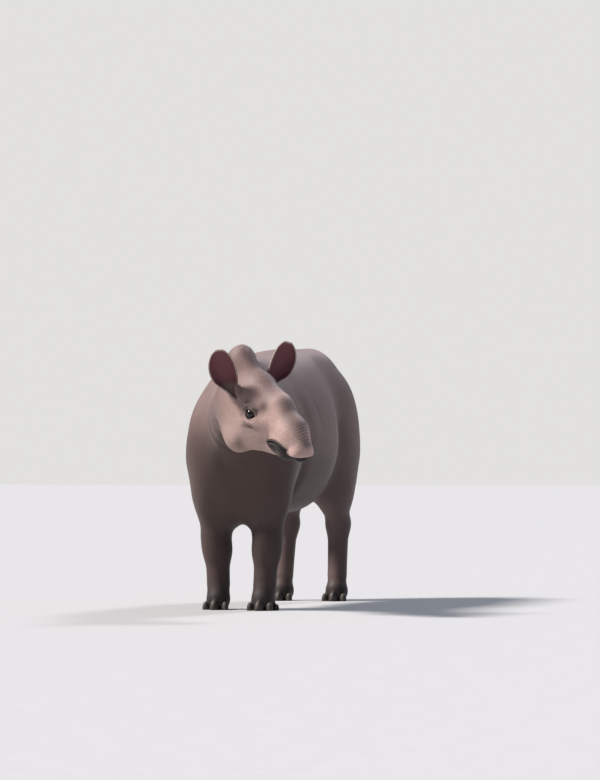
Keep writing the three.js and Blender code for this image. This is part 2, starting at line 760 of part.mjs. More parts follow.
function wholeTail() {
  const from = new THREE.Vector3(...TAIL_FROM);
  const way = new THREE.Vector3(...TAIL_TO).sub(from);
  const length = way.length();
  const outline = [[0, -4], [30, -2], [32, 20], [30, 60], [24, 105], [15, 136], [7, 145], [0, length]];
  const g = new THREE.LatheGeometry(outline.map((p) => new THREE.Vector2(...p)), 14);
  g.applyQuaternion(new THREE.Quaternion().setFromUnitVectors(new THREE.Vector3(0, 1, 0), way.normalize()));
  g.translate(...TAIL_FROM);
  return solidOf(g);
}

// Nodes

const HIDE = { color: 0x6e5850, roughness: 0.78, metalness: 0 };
const EAR_SKIN = { color: 0x4c3431, roughness: 0.7, metalness: 0 };
const HORN = { color: 0x2b2523, roughness: 0.55, metalness: 0 };
const EYE = { color: 0x120d0b, roughness: 0.12, metalness: 0 };

const tapir = new THREE.Group();
tapir.name = "tapir";

function addNode(name, made, look) {
  const m = largest(made).getMesh();
  const positions = new Float32Array(m.numVert * 3);
  for (let i = 0; i < m.numVert; i++)
    positions.set(m.vertProperties.subarray(i * m.numProp, i * m.numProp + 3), i * 3);
  const g = new THREE.BufferGeometry();
  g.setAttribute("position", new THREE.BufferAttribute(positions, 3));
  g.setIndex(new THREE.BufferAttribute(m.triVerts, 1));
  g.computeVertexNormals();
  const mesh = new THREE.Mesh(g, new THREE.MeshStandardMaterial({ name, ...look }));
  mesh.name = name;
  tapir.add(mesh);
}

function addTorso() {
  let torso = meshed(body, [-260, -640, 262], [260, 700, 1000], TORSO_STEP);
  torso = past(torso, NECK_CUT.at, minus(NECK_CUT.way), GAP);
  torso = Manifold.union([torso, past(wholeTail(), TAIL_CUT.at, minus(TAIL_CUT.way), GAP)]);
  for (const leg of LEGS) torso = torso.subtract(legBox(leg, GAP));
  addNode("torso", torso, HIDE);
}

function addTail() {
  addNode("tail", past(wholeTail(), TAIL_CUT.at, TAIL_CUT.way), HIDE);
}

function addNeck() {
  let made = meshed(body, [-200, -900, 430], [330, -380, 980], NECK_STEP);
  made = Manifold.union([made, ...locks(NECK_CREST, 19, 7, (s) => 1.05 - 0.4 * s)]);
  made = past(made, NECK_CUT.at, NECK_CUT.way);
  made = past(made, HEAD_CUT.at, minus(HEAD_CUT.way), GAP);
  addNode("neck", made, HIDE);
}

function addHead() {
  let made = meshed(body, [-150, -260, -220], [150, 172, 200], HEAD_STEP, headFrame);
  made = past(made, HEAD_CUT.at, HEAD_CUT.way);
  made = past(made, NECK_CUT.at, NECK_CUT.way);
  made = made.subtract(mouth());
  for (const side of [1, -1]) {
    made = made.subtract(nostril(side));
    made = Manifold.union([made, lid(side, 0.72), lid(side, -0.62)]);
    made = made.subtract(eyeball(side, EYE_RADIUS + GAP));
    addNode(side > 0 ? "eye_left" : "eye_right", eyeball(side, EYE_RADIUS), EYE);
  }
  made = past(
    Manifold.union([made, ...locks(HEAD_CREST, 8, 3, (s) => 0.6 + 0.4 * s)]),
    HEAD_CUT.at,
    HEAD_CUT.way,
  );
  for (const name of ["left", "right"]) {
    const ear = partedEar(name);
    made = made.subtract(ear.free).add(ear.root);
    addNode("ear_" + name, ear.free, EAR_SKIN);
  }
  addNode("head", made, HIDE);
}

function addLeg(leg) {
  const hip = HIPS[leg.hip];
  const x = [leg.side * HIP_X[0], leg.side * 210].sort((a, b) => a - b);
  let made = meshed(body, [x[0], hip.y[0], -30], [x[1], hip.y[1], 560], LEG_STEP);
  made = made.intersect(legBox(leg, 0));
  const toes = leg.hip === "fore" ? FORE_TOES : HIND_TOES;
  made = Manifold.union([made, ...toes.map((toe) => toePad(leg, toe))]);
  made = past(made, [0, 0, 0], [0, 0, 1]);
  toes.forEach((toe, i) => {
    made = made.subtract(hoof(leg, toe, GAP));
    addNode(leg.name.replace("leg", "hoof") + "_" + (i + 1), hoof(leg, toe, 0), HORN);
  });
  addNode(leg.name, made, HIDE);
}

addHead();
addNeck();
addTorso();
addTail();
LEGS.forEach(addLeg);

// The origin is on the floor under the middle of the whole animal
const bounds = new THREE.Box3().setFromObject(tapir);
const centre = bounds.getCenter(new THREE.Vector3());
tapir.position.set(-centre.x, -centre.y, 0);

export default tapir;
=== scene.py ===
"""South American tapir, life size, standing, with its head turned to its left.

The skin is meshed from one smooth field of blended rods and balls, in millimetres in the animal's own
frame: it faces -Y, its left side is +X, and Z is up. Every finished piece is in metres in the row frame.
"""

import json
import math

import bmesh
import bpy
import numpy as np
from mathutils import Matrix, Vector
from mathutils.bvhtree import BVHTree

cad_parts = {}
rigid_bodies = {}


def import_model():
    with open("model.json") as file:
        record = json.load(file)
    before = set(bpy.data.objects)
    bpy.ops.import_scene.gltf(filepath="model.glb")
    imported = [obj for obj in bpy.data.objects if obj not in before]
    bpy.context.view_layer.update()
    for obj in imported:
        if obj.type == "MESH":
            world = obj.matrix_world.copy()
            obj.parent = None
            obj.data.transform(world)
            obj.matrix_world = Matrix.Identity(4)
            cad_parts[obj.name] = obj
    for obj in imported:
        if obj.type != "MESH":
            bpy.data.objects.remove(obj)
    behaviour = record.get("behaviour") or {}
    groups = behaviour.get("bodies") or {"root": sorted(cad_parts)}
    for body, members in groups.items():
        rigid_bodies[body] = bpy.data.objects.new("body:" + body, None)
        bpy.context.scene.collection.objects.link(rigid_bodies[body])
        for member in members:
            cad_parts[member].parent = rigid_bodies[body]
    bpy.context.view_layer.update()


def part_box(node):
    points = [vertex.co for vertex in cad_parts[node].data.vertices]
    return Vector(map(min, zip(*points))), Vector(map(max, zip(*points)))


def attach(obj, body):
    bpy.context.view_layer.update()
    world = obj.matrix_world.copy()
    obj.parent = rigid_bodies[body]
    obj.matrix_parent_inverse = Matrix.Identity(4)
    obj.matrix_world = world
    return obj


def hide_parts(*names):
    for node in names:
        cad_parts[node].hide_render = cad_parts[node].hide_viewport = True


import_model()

bl_info = {
    "name": "Tapir",
    "version": (1, 0, 0),
    "blender": (4, 5, 0),
    "location": "View3D > Sidebar > Tapir",
    "description": "Builds a life-size South American tapir with its coat, mane, eyes and hooves",
    "category": "Object",
}

MM = 0.001

# Fields: each gives the distance in mm from the columns of p to a surface, negative inside


def column(v):
    return np.array(v, float)[:, None]


def length(v):
    return np.sqrt((v * v).sum(0))


def smoothstep(a, b, v):
    t = np.clip((v - a) / (b - a), 0, 1)
    return t * t * (3 - 2 * t)


def bump(v, middle, width):
    return np.exp(-(((v - middle) / width) ** 2))


def ball(centre, radii):
    """An ellipsoid."""
    c, r = column(centre), column(radii)

    def field(p):
        q = (p - c) / r
        near = length(q)
        steep = length(q / r)
        return np.where(steep > 1e-6, near * (near - 1) / np.maximum(steep, 1e-6), -r.min())

    return field


def rod(a, b, ra, rb, flat=1.0):
    """A rod from a to b with radii ra and rb, and `flat` times as wide in x."""
    squeeze = column((1 / flat, 1, 1))
    a, b = column(a), column(b)
    d = (b - a) * squeeze
    d2 = float((d * d).sum())

    def field(p):
        q = (p - a) * squeeze
        t = np.clip((q * d).sum(0) / d2, 0, 1)
        return (length(q - t * d) - ra - t * (rb - ra)) * min(1, flat)

    return field


def soften(d, e, k):
    h = np.maximum(k - np.abs(d - e), 0) / k
    return np.minimum(d, e) - h * h * k / 4


def blend(first, *rest):
    def field(p):
        d = first(p)
        for k, f in rest:
            d = soften(d, f(p), k)
        return d

    return field


def hollow(first, *cuts):
    def field(p):
        d = first(p)
        for k, f in cuts:
            d = -soften(-d, f(p), k)
        return d

    return field


def folded(p):
    return np.array((np.abs(p[0]), p[1], p[2]))


def mirrored(f):
    return lambda p: f(folded(p))


def within(f, centre, radius, margin=90):
    """The field f, worked out only near the ball that holds its shape."""
    c = column(centre)

    def field(p):
        away = length(p - c) - radius
        near = away < margin
        d = np.maximum(away, margin)
        if near.any():
            d[near] = f(p[:, near])
        return d

    return field


# Trunk and legs

FORE_Y, HIND_Y = -410, 410
TRUNK = np.array(
    [
        # y, half width, widest level, top, bottom, and the exponent above that level
        (-400, 188, 608, 896, 322, 1.7),
        (-180, 214, 606, 926, 322, 1.75),
        (30, 220, 606, 943, 331, 1.8),
        (160, 192, 606, 948, 338, 1.85),
        (280, 154, 618, 951, 352, 1.9),
        (400, 158, 645, 957, 388, 1.98),
    ],
    float,
)
CHEST_CAP, RUMP_CAP = 172, 240
ROUND_BELOW = 1.85  # the exponent below the widest level


def along(stations, y):
    """The stations' values at y, on a smooth curve that is level at both ends."""
    at = stations[:, 0]
    y = np.clip(y, at[0], at[-1])
    i = np.clip(np.searchsorted(at, y, side="right") - 1, 0, len(at) - 2)
    slope = np.zeros_like(stations)
    slope[1:-1] = (stations[2:] - stations[:-2]) / (at[2:] - at[:-2])[:, None]
    span = at[i + 1] - at[i]
    t = (y - at[i]) / span
    p, q = stations[i].T[1:], stations[i + 1].T[1:]
    m, n = slope[i].T[1:] * span, slope[i + 1].T[1:] * span
    return p + t * (m + t * (3 * (q - p) - 2 * m - n + t * (2 * (p - q) + m + n)))


def loft(p):
    x, y, z = p
    wide, level, top, bottom, round_above = along(TRUNK, y)
    above = z > level
    high = np.where(above, top - level, level - bottom)
    first, last = TRUNK[0, 0], TRUNK[-1, 0]
    deep = np.where(y < first, CHEST_CAP, RUMP_CAP)
    power = np.where(above, round_above, ROUND_BELOW)
    px = np.abs(x) / wide
    pz = np.abs(z - level) / high
    py = (y - np.clip(y, first, last)) / deep
    section = (px**power + pz**power) ** (1 / power)
    near = np.hypot(section, py)
    steep = np.sqrt((px / wide) ** 2 + (pz / high) ** 2 + (py / deep) ** 2)
    return np.where(steep > 1e-6, near * (near - 1) / np.maximum(steep, 1e-6), -wide)


trunk = mirrored(
    blend(
        loft,
        (60, ball((96, -395, 560), (86, 140, 190))),  # shoulder
        (60, ball((92, 440, 600), (86, 118, 235))),  # thigh
    )
)


def foreleg(side, step):
    foot = FORE_Y + step
    return blend(
        rod((side * 110, -392, 520), (side * 102, -400, 390), 84, 64, 0.88),  # upper arm
        (30, ball((side * 52, -395, 340), (34, 60, 50))),  # fold of the armpit
        (50, rod((side * 104, -400, 390), (side * 100, foot + 12, 245), 70, 52, 0.95)),  # forearm
        (30, rod((side * 99, foot + 10, 250), (side * 95, foot + 12, 205), 51, 48, 0.98)),  # knee
        (30, rod((side * 95, foot + 12, 205), (side * 90, foot + 8, 95), 46, 42, 1.02)),  # cannon
        (26, ball((side * 87, foot - 2, 38), (43, 47, 48))),
    )


def hindleg(side, step):
    foot = HIND_Y + step
    return blend(
        rod((side * 97, 400, 540), (side * 99, 402, 420), 104, 76, 0.7),
        (60, rod((side * 99, 398, 420), (side * 97, foot + 38, 300), 67, 47, 0.84)),  # shank
        (30, ball((side * 98, foot + 44, 292), (37, 48, 50))),  # hock
        (30, rod((side * 99, foot + 38, 285), (side * 103, foot + 10, 100), 43, 39, 0.98)),  # cannon
        (26, ball((side * 104, foot, 38), (43, 47, 48))),
    )


LEGS = [
    # node, field, end, side, step forward or back
    ("foreleg_left", foreleg, "fore", 1, -8),
    ("foreleg_right", foreleg, "fore", -1, 10),
    ("hindleg_left", hindleg, "hind", 1, 6),
    ("hindleg_right", hindleg, "hind", -1, -14),
]
FOOT = {"fore": (86, FORE_Y), "hind": (104, HIND_Y)}
TOES = {
    # place on the foot, turn in degrees, size; from the outside in
    "fore": [
        ((43, 4), 62, (12, 17, 24)),
        ((31, -28), 28, (14, 24, 33)),
        ((0, -42), 0, (18, 27, 36)),
        ((-31, -28), -28, (14, 24, 33)),
    ],
    "hind": [
        ((31, -26), 28, (14, 24, 33)),
        ((0, -40), 0, (18, 27, 36)),
        ((-31, -26), -28, (14, 24, 33)),
    ],
}
CUTICLE = np.array((0, -0.86, -0.5)) / math.hypot(0.86, 0.5)  # the way a hoof faces

# Frames


class Place:
    """A frame of its own, given by its turn and origin in the animal's frame."""

    def __init__(self, matrix):
        self.turn = np.array(matrix.to_3x3())
        self.origin = np.array(matrix.translation)
        self.matrix = matrix

    def inside(self, p):
        """Points of the animal's frame, in this one."""
        return self.turn.T @ (p - self.origin[:, None])

    def outside(self, p):
        """Points of this frame, in the animal's."""
        return self.turn @ p + self.origin[:, None]

    def point(self, x, y, z):
        return self.outside(column((x, y, z)))[:, 0]


def turned(axis, degrees):
    return Matrix.Rotation(math.radians(degrees), 4, axis)


# Head: x to its left, y back from the nose, z up, from midway between the eyes
HEAD = Place(Matrix.Translation((234, -822, 694)) @ turned("Z", 59) @ turned("X", 21.5) @ turned("Y", -6.5))

# Ears: z up the ear, the cup facing -y
EAR_LENGTH, EAR_WIDTH, EAR_DEPTH, EAR_WALL, EAR_SINK, EAR_BEND = 158, 90, 34, 7, 34, 24
EARS = {
    # side, place on the head, lean out, lean back, turn of the cup
    "left": (1, (108, 104, 48), 17, 9, -14),
    "right": (-1, (110, 104, 44), 15, 9, 36),
}


def ear_place(name):
    side, at, lean, back, face = EARS[name]
    return Place(
        HEAD.matrix
        @ Matrix.Translation((side * at[0], at[1], at[2]))
        @ turned("X", -back)
        @ turned("Y", side * lean)
        @ turned("Z", side * face)
    )


def toe_place(end, side, step, toe):
    (across, ahead), turn, _ = toe
    x, y = FOOT[end]
    return Place(Matrix.Translation((side * (x + across), y + step + ahead, 0)) @ turned("Z", turn * side))


# Head

EYE_RADIUS = 18
GAZE_TURN = 0.5  # how far each eye looks ahead of sideways, in radians
EYE_AT = (70, 0, 2)
MOUTH_LINE = np.array([(-73, -76), (-96, -66), (-122, -61), (-150, -66), (-174, -79)], float)

# The snout is cut across at its end: the way the cut faces along y and z, how far it lies, and its last y
SNOUT_FALL, SNOUT_END, SNOUT_BACK = (-0.208, -0.978), 121, -172


def above_cut(p):
    """How far points of the head's frame lie above the snout's cut end."""
    return SNOUT_END - SNOUT_FALL[0] * p[1] - SNOUT_FALL[1] * p[2]


def snout_cut(p):
    return np.maximum(above_cut(p), p[1] - SNOUT_BACK)


skull = mirrored(
    blend(
        hollow(
            blend(
                ball((0, 72, 0), (82, 120, 102)),
                (40, rod((0, 176, 116), (0, 70, 72), 54, 42, 0.72)),  # crest
                (50, rod((0, 40, 56), (0, -58, 44), 46, 40, 0.94)),  # forehead
                (44, rod((0, -64, 38), (0, -150, -10), 40, 41)),  # nose
                (40, rod((0, -20, -14), (0, -138, -34), 72, 50, 0.88)),  # muzzle
                (30, rod((0, -150, -8), (0, -203, -56), 42, 39, 1.02)),  # proboscis
                (16, rod((-16, -207, -72), (16, -207, -72), 28, 28)),  # its squared tip
                (34, ball((46, 24, -20), (38, 86, 42))),  # cheekbone
                (40, ball((46, 80, -90), (48, 72, 80))),  # jaw muscle
                (36, rod((0, 66, -100), (0, -124, -92), 52, 25, 0.98)),  # lower jaw
                (14, ball((0, -136, -97), (34, 34, 24))),  # lower lip
                (20, ball((26, -126, -56), (25, 50, 22))),  # upper lip
                (14, ball((66, 4, 26), (19, 32, 10))),  # brow
            ),
            (20, ball((106, 0, 2), (26, 26, 21))),  # orbit
            (22, ball((90, -46, 26), (20, 24, 20))),  # hollow before the eye
            (16, ball((98, -14, -44), (22, 24, 9))),  # fold under the eye
            (5, snout_cut),
        ),
        (6, ball((0, -207, -81), (29, 25, 19))),  # pad round the nostrils
    )
)


def fine_curve(points, count):
    """`count` points on a smooth curve through the given ones."""
    points = np.array(points, float)
    padded = np.vstack((2 * points[0] - points[1], points, 2 * points[-1] - points[-2]))
    s = np.linspace(0, len(points) - 1, count)
    i = np.minimum(s.astype(int), len(points) - 2)
    t = (s - i)[:, None]
    a, b, c, d = (padded[i + k] for k in range(4))
    return 0.5 * (2 * b + t * (c - a) + t**2 * (2 * a - 5 * b + 4 * c - d) + t**3 * (3 * (b - c) + d - a))


MOUTH = fine_curve(MOUTH_LINE, 12)


def line_distance(line, y, z):
    """Distance from a line of points in a plane, and how far along it from 0 to 1."""
    best = np.full(y.shape, 1e9)
    how_far = np.zeros(y.shape)
    for i in range(len(line) - 1):
        a, d = line[i], line[i + 1] - line[i]
        t = np.clip(((y - a[0]) * d[0] + (z - a[1]) * d[1]) / (d @ d), 0, 1)
        away = np.hypot(y - a[0] - t * d[0], z - a[1] - t * d[1])
        closer = away < best
        best = np.where(closer, away, best)
        how_far = np.where(closer, (i + t) / (len(line) - 1), how_far)
    return best, how_far


def eye_distance(q):
    """Distance from the nearer eye's middle, in the head's frame."""
    return np.sqrt((np.abs(q[0]) - EYE_AT[0]) ** 2 + q[1] ** 2 + (q[2] - EYE_AT[2]) ** 2)


def lids(d, p):
    """Adds the eyelids round the eye, and hollows out the eye's seat."""
    x, y, z = np.abs(p[0]) - EYE_AT[0], p[1] - EYE_AT[1], p[2] - EYE_AT[2]
    near = (x * x + y * y + z * z) < 60**2
    if not near.any():
        return d
    x, y, z = x[near], y[near], z[near]
    ahead, aside = math.cos(GAZE_TURN), math.sin(GAZE_TURN)
    x, y = x * ahead - y * aside, y * ahead + x * aside
    e = d[near]
    # the almond between the lids slants down towards the nose
    u = y * math.cos(0.12) + z * math.sin(0.12)
    v = z * math.cos(0.12) - y * math.sin(0.12) - 0.5
    away = np.sqrt(x * x + y * y + z * z)
    round_eye = np.hypot(y, z)
    e = soften(e, away - (EYE_RADIUS + 3.6), 9)
    height = np.where(v > 0, 10.0, 9.2)
    almond = (np.sqrt((u / 17.4) ** 2 + (v / height) ** 2) - 1) * 10
    e = -soften(-e, np.maximum(almond, 4 - x), 3)
    # creases over and under the lids
    e += 2.0 * bump(round_eye, 27, 2.8) * smoothstep(-2, 10, v)
    e += 1.2 * bump(round_eye, 25.5, 2.6) * smoothstep(4, -8, v)
    e += 0.9 * bump(round_eye, 34, 3) * smoothstep(-6, -16, v)
    e = -soften(-e, away - (EYE_RADIUS + 0.3), 0.8)
    d[near] = e
    return d


NOSTRIL = Place(Matrix.Translation((14, -221, -93)) @ turned("Z", 18))
nostril_hole = ball((0, 0, 0), (5.5, 9, 8))


def face(p):
    """The head with its mouth, lips, nostrils, lids and wrinkles, in the head's frame."""
    d = skull(p)
    ahead = -p[1]
    near = (ahead > 40) & (d < 60)
    if near.any():
        q = p[:, near]
        e = d[near]
        away, how_far = line_distance(MOUTH, q[1], q[2])
        forward = smoothstep(-60, -84, q[1])
        below = smoothstep(-62, -76, q[2])
        # lips
        e -= 2.6 * bump(away, 6.5, 4.2) * forward * (0.8 + 0.55 * below)
        e += 1.4 * bump(away, 15, 4) * forward * smoothstep(-96, -80, q[2])
        # wrinkles across the proboscis
        phase = (-q[1] * 0.86 - q[2] * 0.5) + 3 * np.sin(q[0] * 0.06)
        rings = smoothstep(96, 150, -q[1]) * smoothstep(-74, -50, q[2]) * (1 - smoothstep(212, 226, -q[1]))
        e += 0.32 * np.sin(phase * 2 * math.pi / 9.5) * rings
        gape = 1.5 * smoothstep(0, 0.3, how_far) + 0.25
        # the slit runs in from both sides, and right through in front of the chin
        slit = np.maximum(away - gape, 20 - np.abs(q[0]) - 44 * smoothstep(-118, -178, q[1]))
        e = -soften(-e, slit, 1.5)
        e = -soften(-e, nostril_hole(NOSTRIL.inside(folded(q))), 3)
        d[near] = e
    return lids(d, p)


head = within(lambda p: face(HEAD.inside(p)), HEAD.point(0, 20, 10), 280)

neck = blend(
    rod((0, -410, 610), HEAD.point(0, 150, -16), 166, 106, 0.84),
    (60, rod((0, -330, 830), HEAD.point(0, 176, 108), 62, 54, 0.8)),
)

TAIL_FROM, TAIL_TO = (0, 582, 812), (0, 690, 690)
tail = blend(
    rod(TAIL_FROM, (0, 636, 752), 24, 29),
    (20, rod((0, 636, 752), (0, 676, 706), 29, 15)),
)

# Ears


def ear_leaf(side, s, t):
    """A point of an ear's middle surface: s from root to tip, t from edge to edge."""
    clamped = np.clip(s, 0, 1)
    opened = 0.5 - 0.5 * np.cos(np.pi * np.clip(s / 0.45, 0, 1))
    arc = np.radians(150 - 72 * opened)
    oval = np.sqrt(np.maximum(0, 1 - (np.maximum(0, s - 0.52) / 0.48) ** 2))
    half = EAR_WIDTH / 2 * (0.4 + 0.6 * np.sin(np.pi / 2 * np.clip(s / 0.52, 0, 1))) * oval
    deep = EAR_DEPTH * (1 - 0.75 * clamped**3) * (0.35 + 0.65 * oval)
    x = half * np.sin(t * arc) / np.sin(np.minimum(arc, np.pi / 2)) - side * EAR_BEND * (1 - s) ** 3
    y = deep * (np.cos(t * arc) - np.cos(arc)) / (1 - np.cos(arc)) - 0.4 * deep
    return x, y, EAR_LENGTH * s


def grid_faces(rows, columns):
    """The quads of a grid whose points come row by row."""
    wide = columns + 1
    corners = (0, 1, wide + 1, wide)
    return [tuple(i * wide + j + c for c in corners) for i in range(rows) for j in range(columns)]


class Ear:
    """An ear as a curved leaf, with the nearest point of the leaf for any point."""

    ROWS, COLUMNS = 48, 40

    def __init__(self, name):
        self.side = EARS[name][0]
        self.place = ear_place(name)
        first = -EAR_SINK / EAR_LENGTH
        rows = np.linspace(0, 1, self.ROWS + 1)
        self.s = first + (0.985 - first) * np.sin(np.pi / 2 * rows)
        self.t = np.linspace(-1, 1, self.COLUMNS + 1)
        s, t = np.meshgrid(self.s, self.t, indexing="ij")
        x, y, z = ear_leaf(self.side, s, t)
        points = np.stack((x, y, z), -1).reshape(-1, 3)
        faces = grid_faces(self.ROWS, self.COLUMNS)
        self.tree = BVHTree.FromPolygons([Vector(v) for v in points], faces)
        self.low = points.min(0)[:, None] - 24
        self.high = points.max(0)[:, None] + 24

    def nearest(self, p):
        """Distance to the leaf, s, t, and 1 on the cup's side or -1 on its back; distance 99 when far."""
        q = self.place.inside(p)
        count = q.shape[1]
        away, s, t, cup = np.full(count, 99.0), np.zeros(count), np.zeros(count), np.zeros(count)
        for i in np.flatnonzero(((q > self.low) & (q < self.high)).all(0)):
            here = Vector(q[:, i])
            at, normal, index, distance = self.tree.find_nearest(here, 40)
            if at is None:
                continue
            row, col = divmod(index, self.COLUMNS)
            away[i], s[i], t[i] = distance, self.s[row], (self.t[col] + self.t[col + 1]) / 2
            cup[i] = 1 if (here - at).dot(normal) > 0 else -1
        return away, s, t, cup

    def field(self, p):
        away, s, t, cup = self.nearest(p)
        wall = np.maximum(4.2, EAR_WALL * (1 - 0.55 * np.abs(t) ** 3) * (1 - 0.4 * np.clip(s, 0, 1)) - 0.4)
        # low ridges run up inside the cup
        ridges = 0.5 * np.cos(t * 3.1 * math.pi) * smoothstep(0.85, 0.3, s)
        ridges = ridges * smoothstep(0.95, 0.6, np.abs(t))
        inside = (cup > 0) & (away < 30)
        return away - wall * 0.5 - np.where(inside, ridges, 0)


EAR = {name: Ear(name) for name in EARS}

# Feet and hooves


def hoof_field(size, grow):
    """A blunt hoof in its toe's frame, its sole on the floor."""
    shell = ball((0, 0, 4), [v + grow for v in size])
    middle = column((0, -2, 10))

    def field(p):
        d = shell(p)
        facing = ((p - middle) * CUTICLE[:, None]).sum(0)
        d = -soften(-d, facing + grow, 2.5)
        return -soften(-d, p[2], 2.0)

    return field


def foot_field(end, side, step):
    """The toes behind the hooves, and the hooves' own room."""
    pads, rooms = [], []
    for toe in TOES[end]:
        place = toe_place(end, side, step, toe)
        w, l, h = toe[2]
        pads.append((place, ball((0, 9, 6), (w * 1.02, l * 1.05, h * 1.02))))
        rooms.append((place, hoof_field(toe[2], 0.35)))
    return pads, rooms


FEET = [foot_field(end, side, step) for _, _, end, side, step in LEGS]

# Creases: valleys along a segment in the animal's frame

CREASES = [
    # from, to, width, depth; on both sides where the last value is true
    ((140, -262, 420), (200, -250, 600), 26, 9, True),  # between the upper arm and the barrel
    ((200, -262, 620), (150, -240, 820), 40, 7, True),  # behind the shoulder blade
    ((130, -500, 760), (176, -470, 640), 34, 3, True),  # before the shoulder
    ((146, -370, 850), (196, -300, 640), 14, 2.6, True),  # folds down the side
    ((140, -280, 880), (208, -200, 610), 14, 3, True),
    ((136, -200, 895), (216, -110, 650), 14, 2.4, True),
    ((0, -580, 420), (0, -560, 600), 30, 5, False),  # down the breast
    ((96, 330, 430), (140, 290, 640), 40, 9, True),  # before the thigh
    ((60, 315, 400), (20, 300, 372), 24, 4, True),  # groin
    ((96, 470, 360), (92, 520, 520), 26, 3, True),  # behind the thigh
    ((0, 560, 430), (0, 606, 620), 22, 6, False),  # between the buttocks
]


def crease_depth(p):
    depth = np.zeros(p.shape[1])
    for a, b, width, deep, both in CREASES:
        a, b = column(a), column(b)
        q = folded(p) if both else p
        d = b - a
        t = np.clip(((q - a) * d).sum(0) / float((d * d).sum()), 0, 1)
        away = length(q - a - t * d)
        depth += deep * np.exp(-((away / width) ** 2))
    return depth


NECK_AT = HEAD.point(0, 150, -16)
NECK_WAY = np.array((0, -410, 610)) - NECK_AT
NECK_LONG = float(np.linalg.norm(NECK_WAY))
NECK_WAY = NECK_WAY / NECK_LONG


def along_neck(p):
    """How far behind the cheeks each column of p lies, along the neck."""
    return ((p - NECK_AT[:, None]) * NECK_WAY[:, None]).sum(0)


def neck_folds(p):
    """Soft folds round the neck behind the cheeks, deepest on the throat and the inside of the turn."""
    s = along_neck(p)
    wave = np.sin(s * 2 * math.pi / 58 + 0.008 * p[2]) + 0.3 * np.sin(s * 2 * math.pi / 37 + 1.3)
    low = smoothstep(840, 700, p[2])
    return 2.3 * wave * low * smoothstep(-10, 30, s) * smoothstep(0.72 * NECK_LONG, 0.3 * NECK_LONG, s)


# The whole skin

COAT_BODY, COAT_FACE, COAT_FOOT = 2.6, 1.1, 1.0  # how deep the coat lies, in mm


def coat_depth(p):
    ahead = HEAD.inside(p)[1]
    face_share = smoothstep(150, 60, ahead) * (p[2] > 400)
    depth = COAT_BODY + (COAT_FACE - COAT_BODY) * face_share
    return depth + (COAT_FOOT - depth) * smoothstep(150, 60, p[2])


BARE = blend(
    trunk,
    *[
        (60, within(make(side, step), (side * 100, FOOT[end][1], 300), 360))
        for _, make, end, side, step in LEGS
    ],
    (60, neck),
    (40, head),
    (52, within(tail, TAIL_FROM, 190)),
)


def skin(p):
    """The animal's skin."""
    d = BARE(p)
    d = d + coat_depth(p) + crease_depth(p) + neck_folds(p)
    for ear in EAR.values():
        d = soften(d, ear.field(p), 15)
    low = p[2] < 110
    if low.any():
        q = p[:, low]
        e = d[low]
        for pads, rooms in FEET:
            for place, pad in pads:
                e = soften(e, pad(place.inside(q)) + COAT_FOOT, 7)
            for place, room in rooms:
                e = -soften(-e, room(place.inside(q)), 1.2)
        d[low] = -soften(-e, q[2] - 0.8, 5)
    return d


# Meshing: one vertex in each cell that the surface crosses, with smaller cells where asked

CORNERS = np.array([(n & 1, n >> 1 & 1, n >> 2) for n in range(8)])
AXES = np.eye(3, dtype=int)
OFFSET = 8


def key(cells):
    i, j, k = cells + OFFSET
    return (i << 40) | (j << 20) | k


def lookup(sorted_keys, wanted):
    """Where each wanted key stands in the sorted keys, or -1."""
    if not len(sorted_keys):
        return np.full(wanted.shape, -1)
    at = np.minimum(np.searchsorted(sorted_keys, wanted), len(sorted_keys) - 1)
    return np.where(sorted_keys[at] == wanted, at, -1)


def leaf_cells(field, low, high, step, level_of):
    """The cells near the surface by level, and the cells of each level that were split."""
    count = np.ceil((high - low) / step).astype(int)
    cells = np.stack(np.meshgrid(*[np.arange(n) for n in count], indexing="ij")).reshape(3, -1)
    leaves, split = [], []
    level = 0
    while cells.shape[1]:
        size = step / 2**level
        centre = low[:, None] + (cells + 0.5) * size
        near = np.abs(field(centre)) < 1.5 * size
        cells, centre = cells[:, near], centre[:, near]
        deeper = level_of(centre) > level
        for group, chosen in ((leaves, ~deeper), (split, deeper)):
            group.append(cells[:, chosen][:, np.argsort(key(cells[:, chosen]))])
        kids = cells[:, deeper]
        cells = (2 * kids[:, :, None] + CORNERS.T[:, None, :]).reshape(3, -1)
        level += 1
    return leaves, split


